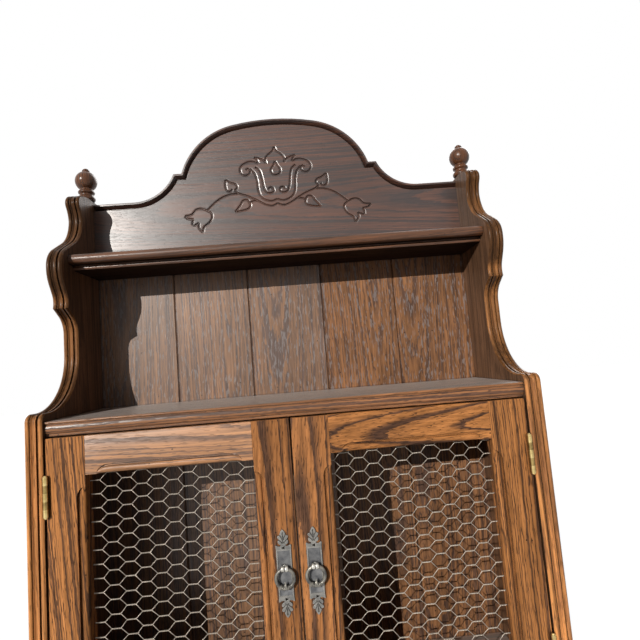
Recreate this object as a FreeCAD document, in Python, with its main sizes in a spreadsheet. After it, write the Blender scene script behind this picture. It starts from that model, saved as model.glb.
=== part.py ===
import FreeCAD, Part
import math
import os
from types import SimpleNamespace

import Sketcher

# Wall curio cabinet in stained oak: two shaped side boards with a reeded front edge and turned
# finials, an arched crest over a display shelf, an open niche with a boarded back, and a cupboard
# below it behind two framed doors that are filled with hexagonal wire netting.
# Millimetres. X runs across the front, Y from the front to the wall, Z up from the underside.

# Driving sizes: alias, value, meaning
SIZES = (
    ("case_width", 610.0, "width over the two side boards"),
    ("case_depth", 168.0, "front edge of a side board to the wall"),
    ("side_thick", 20.0, "side board thickness"),
    ("side_top", 712.0, "height of the side boards"),
    ("floor_thick", 18.0, "cupboard floor thickness"),
    ("deck_thick", 18.0, "thickness of the deck over the doors"),
    ("deck_top", 393.0, "height of the deck's upper face"),
    ("board_setback", 4.0, "deck and floor front edge behind the side's front edge"),
    ("shelf_thick", 20.0, "top shelf thickness"),
    ("shelf_top", 608.5, "height of the top shelf's upper face"),
    ("shelf_depth", 102.0, "top shelf depth from the wall"),
    ("lip_setback", 15.0, "lip under the top shelf behind its nose"),
    ("housing_depth", 6.0, "how far the shelf, deck and floor are let into the sides"),
    ("housing_stop", 14.0, "front of a housing behind the board's own front edge"),
    ("nose_low", 393.5, "height where the side's front edge starts to round over"),
    ("nose_depth", 10.3, "depth of that nose"),
    ("nose_high", 403.0, "height of the top of the nose"),
    ("nose_round", 9.6, "radius of the nose"),
    ("cove_depth", 88.7, "depth of the big cove"),
    ("cove_high", 474.1, "height where the cove turns upright"),
    ("cove_round", 71.5, "radius of the cove"),
    ("cove_top", 502.0, "height where its upright stretch ends"),
    ("notch_depth", 78.3, "depth where the small cove over it ends"),
    ("notch_high", 524.4, "height where the small cove ends"),
    ("notch_round", 27.2, "radius of the small cove"),
    ("tooth_depth", 64.0, "depth of the sharp corner under the lobe"),
    ("tooth_high", 534.5, "height of that corner"),
    ("waist_depth", 64.0, "depth where the hollow over that corner ends"),
    ("waist_high", 551.5, "height where that hollow ends"),
    ("waist_round", 24.0, "radius of that hollow"),
    ("lobe_depth", 55.8, "depth where the lobe starts to round"),
    ("lobe_high", 566.5, "height where the lobe starts to round"),
    ("lobe_round", 48.0, "radius of the lobe's lower part"),
    ("belly_depth", 50.8, "depth of the foremost point of the lobe"),
    ("belly_high", 590.0, "height of that point"),
    ("belly_round", 30.0, "radius of the lobe's upper part"),
    ("brow_depth", 63.2, "depth where the lobe's rounding ends"),
    ("brow_high", 614.3, "height where the lobe's rounding ends"),
    ("sweep_depth", 85.6, "depth where the upper sweep starts"),
    ("sweep_high", 628.5, "height where the upper sweep starts"),
    ("sweep_round", 49.6, "radius of the upper sweep"),
    ("post_depth", 111.1, "depth of the sweep's deepest point"),
    ("post_high", 668.4, "height of that point"),
    ("post_round", 37.5, "radius of the sweep over it"),
    ("snout_depth", 104.5, "depth where the top front corner starts to round"),
    ("snout_high", 688.0, "height where it starts to round"),
    ("snout_round", 12.5, "radius of the top front corner"),
    ("crown_depth", 110.4, "depth where the sloping top starts"),
    ("crown_high", 706.2, "height where the sloping top starts"),
    ("crown_round", 72.0, "radius of the sloping top"),
    ("rest_depth", 137.0, "depth where the level top under the finial starts"),
    ("reed_width", 5.4, "width of the outer reeds on the side's front edge"),
    ("reed_gap", 1.2, "width of the grooves between the reeds"),
    ("reed_sink", 1.8, "depth of those grooves"),
    ("back_count", 5.0, "number of back boards"),
    ("back_thick", 10.0, "back board thickness"),
    ("back_rabbet", 8.0, "width of the rabbet for the back in each side"),
    ("seam_gap", 0.3, "gap between back boards"),
    ("seam_bevel", 1.5, "bevel beside each seam"),
    ("tongue_long", 5.0, "length of a back board's tongue"),
    ("tongue_thick", 3.0, "thickness of the tongue"),
    ("tongue_play", 0.2, "play of a tongue in its groove"),
    ("crest_thick", 18.0, "crest board thickness"),
    ("crest_end", 704.8, "height of the crest at its ends"),
    ("hollow_half", 224.0, "half width over the hollows below the shoulders"),
    ("hollow_round", 70.4, "radius of those hollows"),
    ("shoulder_high", 746.5, "height of the crest's shoulders"),
    ("shoulder_half", 159.7, "half width over the shoulders"),
    ("arch_half", 147.1, "half span of the arch"),
    ("haunch_half", 64.0, "half width where the arch flattens"),
    ("haunch_high", 823.0, "height where the arch flattens"),
    ("haunch_round", 108.7, "radius of the arch's flanks"),
    ("arch_round", 325.0, "radius of the top of the arch"),
    ("bead_width", 7.0, "width of the bead along the top of the crest"),
    ("quirk_width", 2.2, "width of the groove under the bead"),
    ("quirk_sink", 4.0, "depth of that groove"),
    ("finial_height", 52.8, "finial above the side board"),
    ("finial_wall_gap", 19.0, "finial axis in front of the wall"),
    ("dowel_radius", 4.0, "finial dowel radius"),
    ("dowel_long", 14.0, "finial dowel length"),
    ("dowel_play", 0.05, "play of the dowel in its hole"),
    ("collar_radius", 12.6, "finial collar radius"),
    ("collar_high", 7.6, "finial collar height"),
    ("collar_swell", 2.0, "swell of the collar beyond its foot"),
    ("collar_round", 4.6, "radius of the collar's profile"),
    ("disc_radius", 11.4, "radius of the disc over the collar"),
    ("disc_low", 11.2, "foot of that disc"),
    ("disc_high", 16.8, "top of that disc"),
    ("disc_bevel", 1.0, "bevel of that disc"),
    ("neck_radius", 10.2, "finial neck radius"),
    ("neck_round", 2.2, "radius of the hollow neck"),
    ("ball_low", 19.9, "height where the ball starts"),
    ("ball_high", 46.3, "height where the ball ends"),
    ("ball_round", 15.8, "radius of the ball"),
    ("button_radius", 5.7, "radius of the button on the ball"),
    ("button_step", 0.4, "step from the ball to the button"),
    ("button_foot", 1.2, "height of the button's flared foot"),
    ("door_setback", 2.3, "door face behind the side's front edge"),
    ("door_thick", 20.0, "door thickness"),
    ("door_gap", 1.2, "gap over and under a door"),
    ("meeting_gap", 2.0, "gap between the doors"),
    ("hinge_gap", 2.4, "gap between a door and its side board"),
    ("stile_width", 44.2, "width of stiles and rails"),
    ("sticking_width", 7.0, "width of the moulded inner edge"),
    ("sticking_sink", 6.0, "depth of the moulded inner edge"),
    ("sticking_stop", 14.0, "where the moulded edge stops short of a corner"),
    ("sticking_run", 10.0, "length over which it runs out"),
    ("rabbet_width", 7.0, "width of the net rabbet"),
    ("rabbet_sink", 8.0, "depth of the net rabbet from the door's back"),
    ("tenon_long", 25.0, "tenon length"),
    ("tenon_thick", 7.0, "tenon thickness"),
    ("tenon_front", 5.0, "tenon behind the door's face"),
    ("tenon_shoulder", 10.0, "shoulder at each edge of a tenon"),
    ("net_thick", 1.0, "net thickness"),
    ("net_play", 0.5, "gap round the net in its rabbet"),
    ("net_rim", 2.0, "selvedge round the net"),
    ("wire_width", 1.0, "width of a wire of the net"),
    ("mesh_rise", 15.9, "height of one mesh"),
    ("mesh_pitch", 17.3, "distance between columns of meshes"),
    ("twist_long", 11.2, "length of a twist"),
    ("stop_width", 6.4, "width and thickness of the strips that hold the net"),
    ("pull_across", 17.5, "middle of a pull from the middle of the case"),
    ("pull_high", 201.0, "height of the middle of a pull"),
    ("plate_thick", 1.6, "pull plate thickness"),
    ("plate_half", 9.2, "half width of the pull plate"),
    ("plate_rise", 30.0, "half height of the plate's straight part"),
    ("leaf_rise", 18.5, "height of the leaf at each end of the plate"),
    ("leaf_half", 6.0, "half width of that leaf"),
    ("ring_radius", 10.4, "ring radius to the middle of its wire"),
    ("ring_wire", 1.9, "radius of the ring's wire"),
    ("ring_drop", 4.0, "ring centre below the middle of the plate"),
    ("ring_stand", 3.6, "ring plane in front of the plate"),
    ("ring_collar", 2.4, "radius of the collars on the ring"),
    ("ring_collar_long", 1.8, "length of such a collar"),
    ("ring_collar_turn", 17.0, "degrees from the ring's top or foot to a collar"),
    ("cusp_foot", 1.5, "radius of the foot of the cusp inside the ring"),
    ("cusp_rise", 4.6, "height of the cusp from the middle of the ring's wire"),
    ("cusp_tip", 0.4, "radius of the cusp's tip"),
    ("eye_width", 2.2, "width of the eye that holds the ring"),
    ("eye_bore", 2.3, "bore radius of the eye"),
    ("eye_radius", 3.3, "outer radius of the eye"),
    ("eye_web", 0.4, "wall between the eye's bore and its shank"),
    ("eye_shank", 1.5, "radius of the eye's shank"),
    ("eye_shank_long", 12.0, "length of the shank in the stile"),
    ("pin_inset", 2.5, "plate pins from the ends of the straight part"),
    ("pin_head", 1.7, "radius of a plate pin's head"),
    ("pin_head_thick", 0.8, "thickness of that head"),
    ("pin_shank", 0.8, "radius of a plate pin"),
    ("pin_long", 9.0, "length of a plate pin in the stile"),
    ("hinge_long", 45.0, "hinge length"),
    ("hinge_inset", 42.4, "hinge from the door's top or bottom"),
    ("knuckle_count", 5.0, "knuckles in a hinge"),
    ("knuckle_play", 0.15, "gap between knuckles"),
    ("barrel_radius", 2.6, "hinge barrel radius"),
    ("barrel_play", 0.3, "gap between barrel and door face"),
    ("barrel_overlap", 0.7, "hinge axis inside the door's edge"),
    ("bore_radius", 1.25, "knuckle bore radius"),
    ("pintle_radius", 1.2, "hinge pin radius"),
    ("pintle_head", 2.2, "hinge pin head radius"),
    ("pintle_head_thick", 1.4, "hinge pin head height"),
    ("leaf_thick", 1.1, "hinge leaf thickness"),
    ("leaf_play", 0.1, "hinge leaf behind the door's face"),
    ("leaf_depth", 16.0, "hinge leaf depth behind the door's face"),
    ("screw_pitch", 14.0, "distance between hinge screws"),
    ("screw_head", 2.3, "hinge screw head radius"),
    ("screw_shank", 1.2, "hinge screw shank radius"),
    ("screw_long", 12.0, "hinge screw shank length"),
    ("catch_near", 12.0, "inner end of a catch from the middle of the case"),
    ("catch_long", 32.0, "catch length"),
    ("catch_deep", 18.0, "catch depth"),
    ("catch_high", 14.0, "catch height"),
    ("catch_gap", 0.3, "gap between catch and strike"),
    ("strike_inset", 4.0, "strike narrower than the catch at each end"),
    ("strike_thick", 1.2, "strike plate thickness"),
    ("strike_top", 2.0, "strike below the door's top"),
    ("strike_low", 3.0, "strike reaching below the catch"),
    ("hanger_high", 60.0, "hanging rail height"),
    ("hanger_thick", 18.0, "hanging rail thickness"),
    ("wall_hole_pitch", 406.4, "distance between the wall screw holes"),
    ("wall_hole_radius", 3.0, "wall screw hole radius"),
    ("nail_inset", 24.0, "back nails from a board's edge"),
    ("nail_head", 2.2, "back nail head radius"),
    ("nail_head_thick", 0.8, "back nail head thickness"),
    ("nail_shank", 0.9, "back nail radius"),
    ("nail_long", 24.0, "back nail length"),
)

# Length that a guide line or a cutting tool has to spare
MARGIN = 30.0
CUT_SPARE = 2.0
# Radius that keeps a round edge just under a half circle
ARC_SPARE = 0.01
# Share of the top shelf's thickness in its bullnose
BULLNOSE_SHARE = 0.68
# Shares of the deck's thickness in its lip and in its steps
LIP_SHARE = 1 / 6
STEP_SHARE = 1 / 9
# Place of a hinge's screws in the depth of its leaf
SCREW_SHARE = 0.55
# Half of a leaf's lobed edge, from its foot, as shares of the leaf's half width and height
LEAF_LOBES = ((0.5, 0.03), (0.97, 0.24), (0.72, 0.38), (1.0, 0.52), (0.55, 0.7))
# Most meshes that a net may have
LARGEST_NET = 300
SIDES = (("left", -1), ("right", 1))
LEVELS = ("upper", "lower")
# Knuckles of a hinge, counted from below, on the case's leaf and on the door's
CASE_KNUCKLES = (0, 2, 4)
DOOR_KNUCKLES = (1, 3)
STRAIGHT = None

TURNS = {
    "+x": FreeCAD.Rotation(FreeCAD.Vector(0, 1, 0), 90),
    "-x": FreeCAD.Rotation(FreeCAD.Vector(0, 1, 0), -90),
    "+y": FreeCAD.Rotation(FreeCAD.Vector(1, 0, 0), -90),
    "+z": FreeCAD.Rotation(),
}
# Turns that stand an outline up in the plane of the crest or of a side board
CREST_TURN = FreeCAD.Rotation(FreeCAD.Vector(1, 0, 0), 90)
SIDE_TURN = FreeCAD.Rotation(FreeCAD.Vector(1, 1, 1), 120)


class Size:
    """A number together with the spreadsheet expression that gives it."""

    def __init__(self, value, text):
        self.value = value
        self.text = text

    def __add__(self, other):
        other = size_of(other)
        return Size(self.value + other.value, f"({self.text} + {other.text})")

    def __sub__(self, other):
        other = size_of(other)
        return Size(self.value - other.value, f"({self.text} - {other.text})")

    def __mul__(self, other):
        other = size_of(other)
        return Size(self.value * other.value, f"({self.text} * {other.text})")

    def __truediv__(self, other):
        other = size_of(other)
        return Size(self.value / other.value, f"({self.text} / {other.text})")

    def __rmul__(self, other):
        return size_of(other) * self

    def __neg__(self):
        return size_of(-1) * self


def size_of(number):
    """A plain number as a Size."""
    if isinstance(number, Size):
        return number
    return Size(float(number), f"({float(number)!r})")


def make_sheet():
    """Writes the driving sizes into the spreadsheet and hands them back by name."""
    sheet = doc.addObject("Spreadsheet::Sheet", "Sizes")
    for row, (alias, value, meaning) in enumerate(SIZES, start=1):
        sheet.set(f"A{row}", meaning)
        sheet.set(f"B{row}", str(value))
        sheet.setAlias(f"B{row}", alias)
    doc.recompute()
    return SimpleNamespace(
        **{alias: Size(float(sheet.get(alias)), f"Sizes.{alias}") for alias, _, _ in SIZES}
    )


doc = FreeCAD.newDocument("curio_cabinet")
dim = make_sheet()
sub_parts = []


def bind(target, **sizes):
    """Ties properties of an object to the sizes."""
    for prop, size in sizes.items():
        target.setExpression(prop, size_of(size).text)


def place(target, x, y, z):
    """Ties an object's place to the sizes."""
    for axis, size in zip("xyz", (x, y, z)):
        target.setExpression(f"Placement.Base.{axis}", size_of(size).text)


def keep(target, label):
    """Names an object as a sub-part that gets a file of its own."""
    target.Label = label
    sub_parts.append(target)
    return target


def span(sign, near, far):
    """Low and high X of a stretch given by distances from the middle, on one side."""
    if sign > 0:
        return size_of(near), size_of(far)
    return -size_of(far), -size_of(near)


def widened(stretch, more):
    """A stretch made longer at both ends, or shorter where more is negative."""
    return stretch[0] - more, stretch[1] + more


def box(name, x, y, z):
    """A box from its low and high ends along each axis."""
    made = doc.addObject("Part::Box", name)
    bind(made, Length=x[1] - x[0], Width=y[1] - y[0], Height=z[1] - z[0])
    place(made, x[0], y[0], z[0])
    return made


def rod(name, start, axis, radius, length):
    """A round bar from a start point along an axis."""
    made = doc.addObject("Part::Cylinder", name)
    made.Placement = FreeCAD.Placement(FreeCAD.Vector(), TURNS[axis])
    bind(made, Radius=radius, Height=length)
    place(made, *start)
    return made


def taper(name, start, axis, first_radius, last_radius, length):
    """A cone from a start point along an axis."""
    made = doc.addObject("Part::Cone", name)
    made.Placement = FreeCAD.Placement(FreeCAD.Vector(), TURNS[axis])
    bind(made, Radius1=first_radius, Radius2=last_radius, Height=length)
    place(made, *start)
    return made


def tapered(name, depth, near, deep):
    """A block whose near and deep faces, each given as a stretch across and one up, differ in size."""
    made = doc.addObject("Part::Wedge", name)
    bind(made, Ymin=depth[0], Ymax=depth[1],
         Xmin=near[0][0], Xmax=near[0][1], Zmin=near[1][0], Zmax=near[1][1],
         X2min=deep[0][0], X2max=deep[0][1], Z2min=deep[1][0], Z2max=deep[1][1])
    return made


def fuse(name, pieces):
    """Several shapes as one, separate where they do not touch."""
    made = doc.addObject("Part::MultiFuse", name)
    made.Shapes = pieces
    return made


def cut(name, base, tools):
    """A shape with other shapes taken out of it."""
    made = doc.addObject("Part::Cut", name)
    made.Base = base
    made.Tool = tools[0] if len(tools) == 1 else fuse(name + "_tools", tools)
    return made


def arc_between(start, stop, radius, turn):
    """An arc of under a half circle, to the left of its chord when turn is 1, to the right when -1."""
    chord = stop - start
    left = FreeCAD.Vector(-chord.y, chord.x).normalize()
    reach = math.sqrt(radius**2 - (chord.Length / 2) ** 2)
    centre = (start + stop) * 0.5 + left * (turn * reach)
    first, last = (start, stop) if turn > 0 else (stop, start)
    angles = [math.atan2(point.y - centre.y, point.x - centre.x) for point in (first, last)]
    return Part.ArcOfCircle(Part.Circle(centre, FreeCAD.Vector(0, 0, 1), radius), *angles)


def draw(sketch, corners):
    """Draws a closed outline. A corner is two sizes and the stretch that follows it:
    straight, or a bend of a radius and a turn of 1 to the left or -1 to the right."""
    points = [FreeCAD.Vector(size_of(u).value, size_of(v).value) for u, v, _ in corners]
    stretches = []
    for index, (_, _, bend) in enumerate(corners):
        start, stop = points[index], points[(index + 1) % len(points)]
        if bend is STRAIGHT:
            stretches.append((sketch.addGeometry(Part.LineSegment(start, stop)), 1, 2))
        else:
            radius, turn = bend
            arc = sketch.addGeometry(arc_between(start, stop, size_of(radius).value, turn))
            stretches.append((arc, 1, 2) if turn > 0 else (arc, 2, 1))
    rules = []
    texts = []
    for index, (u, v, bend) in enumerate(corners):
        piece, first, last = stretches[index]
        follower, follower_first, _ = stretches[(index + 1) % len(stretches)]
        rules.append(Sketcher.Constraint("Coincident", piece, last, follower, follower_first))
        texts.append(None)
        for kind, size in (("DistanceX", size_of(u)), ("DistanceY", size_of(v))):
            rules.append(Sketcher.Constraint(kind, -1, 1, piece, first, size.value))
            texts.append(size.text)
        if bend is not STRAIGHT:
            rules.append(Sketcher.Constraint("Radius", piece, size_of(bend[0]).value))
            texts.append(size_of(bend[0]).text)
    for number, text in zip(sketch.addConstraint(rules), texts):
        if text is not None:
            sketch.setExpression(f"Constraints[{number}]", text)


def outline_body(name, plane, corners):
    """A body with one outline on one of its own origin planes."""
    body = doc.addObject("PartDesign::Body", name)
    sketch = body.newObject("Sketcher::SketchObject", name + "_outline")
    support = [feature for feature in body.Origin.OriginFeatures if feature.Role == plane][0]
    sketch.AttachmentSupport = [(support, "")]
    sketch.MapMode = "FlatFace"
    draw(sketch, corners)
    return body, sketch


def padded(name, plane, corners, length, back=False):
    """An outline given a thickness."""
    body, sketch = outline_body(name, plane, corners)
    pad = body.newObject("PartDesign::Pad", name + "_pad")
    pad.Profile = sketch
    pad.Reversed = back
    bind(pad, Length=length)
    sketch.Visibility = False
    body.Tip = pad
    return body


def band(name, corners, turn, start, direction, length, outer, inner):
    """The strip between two parallels of an outline, given a length along a direction."""
    sketch = doc.addObject("Sketcher::SketchObject", name + "_line")
    sketch.Placement = FreeCAD.Placement(FreeCAD.Vector(), turn)
    place(sketch, *start)
    draw(sketch, corners)
    slabs = []
    for word, offset in (("outer", outer), ("inner", inner)):
        parallel = doc.addObject("Part::Offset2D", f"{name}_{word}")
        parallel.Source = sketch
        bind(parallel, Value=offset)
        slab = doc.addObject("Part::Extrusion", f"{name}_{word}_slab")
        slab.Base = parallel
        slab.DirMode = "Custom"
        slab.Dir = direction
        slab.Solid = True
        bind(slab, LengthFwd=length)
        slabs.append(slab)
    return cut(name, slabs[0], slabs[1:])


# Planes and lines that several pieces share
front = -dim.case_depth / 2
wall = dim.case_depth / 2
half = dim.case_width / 2
inner_half = half - dim.side_thick
floor_top = dim.floor_thick
deck_under = dim.deck_top - dim.deck_thick
shelf_under = dim.shelf_top - dim.shelf_thick
shelf_front = wall - dim.shelf_depth
back_face = wall - dim.back_thick
board_front = front + dim.board_setback
door_face = front + dim.door_setback
door_back = door_face + dim.door_thick
door_low = floor_top + dim.door_gap
door_high = deck_under - dim.door_gap
door_near = dim.meeting_gap / 2
door_far = inner_half - dim.hinge_gap
open_near = door_near + dim.stile_width
open_far = door_far - dim.stile_width
open_low = door_low + dim.stile_width
open_high = door_high - dim.stile_width


def side_corners(spare):
    """Outline of a side board, with spare length at the wall and at the underside."""
    foot = size_of(-spare)
    rear = wall + spare
    return [
        (front, foot, STRAIGHT),
        (front, dim.nose_low, (dim.nose_round, -1)),
        (front + dim.nose_depth, dim.nose_high, (dim.cove_round, 1)),
        (front + dim.cove_depth, dim.cove_high, STRAIGHT),
        (front + dim.cove_depth, dim.cove_top, (dim.notch_round, 1)),
        (front + dim.notch_depth, dim.notch_high, STRAIGHT),
        (front + dim.tooth_depth, dim.tooth_high, (dim.waist_round, 1)),
        (front + dim.waist_depth, dim.waist_high, STRAIGHT),
        (front + dim.lobe_depth, dim.lobe_high, (dim.lobe_round, -1)),
        (front + dim.belly_depth, dim.belly_high, (dim.belly_round, -1)),
        (front + dim.brow_depth, dim.brow_high, STRAIGHT),
        (front + dim.sweep_depth, dim.sweep_high, (dim.sweep_round, 1)),
        (front + dim.post_depth, dim.post_high, (dim.post_round, 1)),
        (front + dim.snout_depth, dim.snout_high, (dim.snout_round, -1)),
        (front + dim.crown_depth, dim.crown_high, (dim.crown_round, -1)),
        (front + dim.rest_depth, dim.side_top, STRAIGHT),
        (rear, dim.side_top, STRAIGHT),
        (rear, foot, STRAIGHT),
    ]


def crest_corners(spare):
    """Outline of the crest, with spare length at its ends and its foot."""
    end = inner_half + spare
    foot = dim.shelf_top - spare
    return [
        (-end, foot, STRAIGHT),
        (end, foot, STRAIGHT),
        (end, dim.crest_end, STRAIGHT),
        (dim.hollow_half, dim.crest_end, (dim.hollow_round, -1)),
        (dim.shoulder_half, dim.shoulder_high, STRAIGHT),
        (dim.arch_half, dim.shoulder_high, (dim.haunch_round, 1)),
        (dim.haunch_half, dim.haunch_high, (dim.arch_round, 1)),
        (-dim.haunch_half, dim.haunch_high, (dim.haunch_round, 1)),
        (-dim.arch_half, dim.shoulder_high, STRAIGHT),
        (-dim.shoulder_half, dim.shoulder_high, (dim.hollow_round, -1)),
        (-dim.hollow_half, dim.crest_end, STRAIGHT),
        (-end, dim.crest_end, STRAIGHT),
    ]


def deck_corners(top, thick, nose, rear):
    """Section of the deck or floor: a thin round lip, a groove, a swelling face and a fillet."""
    lip = thick * LIP_SHARE
    step = thick * STEP_SHARE
    return [
        (rear, top, STRAIGHT),
        (nose + lip / 2, top, (lip / 2 + ARC_SPARE, 1)),
        (nose + lip / 2, top - lip, STRAIGHT),
        (nose + step, top - lip, STRAIGHT),
        (nose + step, top - lip - step / 2, (thick / 2, 1)),
        (nose + step, top - 5 * lip + step / 2, STRAIGHT),
        (nose + 2 * step, top - 5 * lip + step / 2, STRAIGHT),
        (nose + 2 * step, top - thick, STRAIGHT),
        (rear, top - thick, STRAIGHT),
    ]


def shelf_corners(top, thick, nose, rear):
    """Section of the top shelf: a bullnose over a lip that is set back."""
    bull = thick * BULLNOSE_SHARE
    return [
        (rear, top, STRAIGHT),
        (nose + bull / 2, top, (bull / 2 + ARC_SPARE, 1)),
        (nose + bull / 2, top - bull, STRAIGHT),
        (nose + dim.lip_setback, top - bull, STRAIGHT),
        (nose + dim.lip_setback, top - thick, STRAIGHT),
        (rear, top - thick, STRAIGHT),
    ]


def housing(name, sign, nose, rear, low, high):
    """The end of a board that is let into a side board, behind its front edge."""
    across = span(sign, inner_half, inner_half + dim.housing_depth)
    return box(name, across, (nose + dim.housing_stop, rear), (low, high))


def housed_board(label, corners, nose, rear, low, high, tools=()):
    """A board with a moulded front edge, and its two ends let into the sides."""
    body = padded(label + "_plank", "YZ_Plane", corners, 2 * inner_half)
    place(body, -inner_half, 0, 0)
    ends = [housing(f"{label}_end_{side}", sign, nose, rear, low, high) for side, sign in SIDES]
    board = fuse(label + "_board", [body] + ends)
    if tools:
        board = cut(label + "_cut", board, list(tools))
    return keep(board, label)


def make_screws(name, places, axis, head_axis_start):
    """Countersunk screws at (y, z) places, driven along axis from a start X."""
    pieces = []
    step = dim.leaf_thick if axis == "+x" else -dim.leaf_thick
    for index, (y, z) in enumerate(places):
        head = (head_axis_start, y, z)
        shank = (head_axis_start + step, y, z)
        pieces.append(taper(f"{name}_head_{index}", head, axis, dim.screw_head, dim.screw_shank,
                            dim.leaf_thick))
        pieces.append(rod(f"{name}_shank_{index}", shank, axis, dim.screw_shank, dim.screw_long))
    return fuse(name, pieces)


def hinge_low(level):
    """Height of the underside of a hinge."""
    if level == "upper":
        return door_high - dim.hinge_inset - dim.hinge_long
    return door_low + dim.hinge_inset


def screw_places():
    """Heights and depths of the screws in one door's hinges."""
    middle_depth = door_face + dim.leaf_depth * SCREW_SHARE
    places = []
    for level in LEVELS:
        middle = hinge_low(level) + dim.hinge_long / 2
        places += [(middle_depth, middle + step * dim.screw_pitch) for step in (-1, 0, 1)]
    return places


def make_hinge_leaf(label, sign, level, near, knuckles, screws):
    """One leaf of a butt hinge with its own knuckles round the pin."""
    low = hinge_low(level)
    knuckle = dim.hinge_long / dim.knuckle_count
    axis_x = sign * (door_far - dim.barrel_overlap)
    axis_y = door_face - dim.barrel_play - dim.barrel_radius
    across = span(sign, near, near + dim.leaf_thick)
    plate_front = door_face + dim.leaf_play
    plate = box(label + "_plate", across, (plate_front, door_face + dim.leaf_depth),
                (low, low + dim.hinge_long))
    pieces = [plate]
    for number in knuckles:
        start = low + number * knuckle + dim.knuckle_play / 2
        length = knuckle - dim.knuckle_play
        pieces.append(rod(f"{label}_knuckle_{number}", (axis_x, axis_y, start), "+z",
                          dim.barrel_radius, length))
        pieces.append(box(f"{label}_strap_{number}", across, (axis_y, plate_front),
                          (start, start + length)))
    bore = rod(label + "_bore", (axis_x, axis_y, low - CUT_SPARE), "+z", dim.bore_radius,
               dim.hinge_long + 2 * CUT_SPARE)
    leaf = cut(label + "_drilled", fuse(label + "_solid", pieces), [bore, screws])
    return keep(leaf, label)


def make_hinge_pin(label, sign, level):
    """The pin of a hinge with a button at each end."""
    low = hinge_low(level)
    axis_x = sign * (door_far - dim.barrel_overlap)
    axis_y = door_face - dim.barrel_play - dim.barrel_radius
    pin = rod(label + "_rod", (axis_x, axis_y, low - dim.knuckle_play), "+z", dim.pintle_radius,
              dim.hinge_long + 2 * dim.knuckle_play)
    top = taper(label + "_top", (axis_x, axis_y, low + dim.hinge_long + dim.knuckle_play), "+z",
                dim.pintle_head, dim.pintle_radius, dim.pintle_head_thick)
    foot = taper(label + "_foot", (axis_x, axis_y, low - dim.knuckle_play - dim.pintle_head_thick), "+z",
                 dim.pintle_radius, dim.pintle_head, dim.pintle_head_thick)
    keep(fuse(label + "_solid", [pin, top, foot]), label)


def clipped(points, low, high):
    """A convex outline of (x, z) points cut back to a rectangle."""
    for axis, limit, sign in ((0, low[0], 1), (0, high[0], -1), (1, low[1], 1), (1, high[1], -1)):
        kept = []
        for index, point in enumerate(points):
            before = points[index - 1]
            depth = sign * (point[axis] - limit)
            depth_before = sign * (before[axis] - limit)
            if depth * depth_before < 0:
                share = depth_before / (depth_before - depth)
                kept.append(tuple(b + share * (p - b) for b, p in zip(before, point)))
            if depth >= 0:
                kept.append(point)
        points = kept
    return points


def area(points):
    """Area of an outline of (x, z) points."""
    return abs(sum(p[0] * q[1] - q[0] * p[1] for p, q in zip(points, points[1:] + points[:1]))) / 2


def flat_wire(points, y):
    """A closed wire through (x, z) points at a depth."""
    corners = [FreeCAD.Vector(x, y, z) for x, z in points]
    return Part.makePolygon(corners + corners[:1])


def make_net(label, sign):
    """Hexagonal wire netting with level twists, as one holed sheet."""
    rim = dim.net_rim.value
    wire = dim.wire_width.value
    pitch = dim.mesh_pitch.value
    rise = dim.mesh_rise.value
    x_low, x_high = (size.value for size in span(sign, open_near - dim.rabbet_width + dim.net_play,
                                                 open_far + dim.rabbet_width - dim.net_play))
    z_low = (open_low - dim.rabbet_width + dim.net_play).value
    z_high = (open_high + dim.rabbet_width - dim.net_play).value
    y = (door_back - dim.rabbet_sink).value
    flat = dim.twist_long.value / 2
    point = pitch - flat
    tall = (rise - wire) / 2
    shrink = tall / (rise / 2)
    mesh = [(point, 0), (flat, 1), (-flat, 1), (-point, 0), (-flat, -1), (flat, -1)]
    middle_x = (x_low + x_high) / 2
    middle_z = (z_low + z_high) / 2
    columns = int((x_high - x_low) / pitch / 2) + 2
    rows = int((z_high - z_low) / rise / 2) + 2
    holes = []
    for column in range(-columns, columns + 1):
        for row in range(-rows, rows + 1):
            centre_x = middle_x + column * pitch
            centre_z = middle_z + (row + 0.5 * (column % 2)) * rise
            outline = [(centre_x + shrink * u, centre_z + tall * v) for u, v in mesh]
            outline = clipped(outline, (x_low + rim, z_low + rim), (x_high - rim, z_high - rim))
            if len(outline) > 2 and area(outline) > wire * wire:
                holes.append(flat_wire(outline, y))
    if len(holes) > LARGEST_NET:
        raise ValueError(f"{label} has {len(holes)} meshes")
    border = flat_wire([(x_low, z_low), (x_high, z_low), (x_high, z_high), (x_low, z_high)], y)
    sheet = Part.makeFace([border] + holes, "Part::FaceMakerBullseye")
    net = doc.addObject("Part::Feature", label + "_sheet")
    net.Shape = sheet.extrude(FreeCAD.Vector(0, dim.net_thick.value, 0))
    net.Placement = FreeCAD.Placement()
    keep(net, label)
    print(f"{label}: {len(holes)} meshes")


def make_net_stops(label, sign):
    """Four strips in the rabbet that hold the net from behind."""
    low = open_low - dim.rabbet_width
    high = open_high + dim.rabbet_width
    near = open_near - dim.rabbet_width
    far = open_far + dim.rabbet_width
    wide = dim.stop_width
    net_back = door_back - dim.rabbet_sink + dim.net_thick
    depth = (net_back, net_back + wide)
    strips = [
        box(label + "_meeting", span(sign, near, near + wide), depth, (low, high)),
        box(label + "_hinge", span(sign, far - wide, far), depth, (low, high)),
        box(label + "_foot", span(sign, near + wide, far - wide), depth, (low, low + wide)),
        box(label + "_head", span(sign, near + wide, far - wide), depth, (high - wide, high)),
    ]
    group = doc.addObject("Part::Compound", label + "_group")
    group.Links = strips
    keep(group, label)


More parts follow.
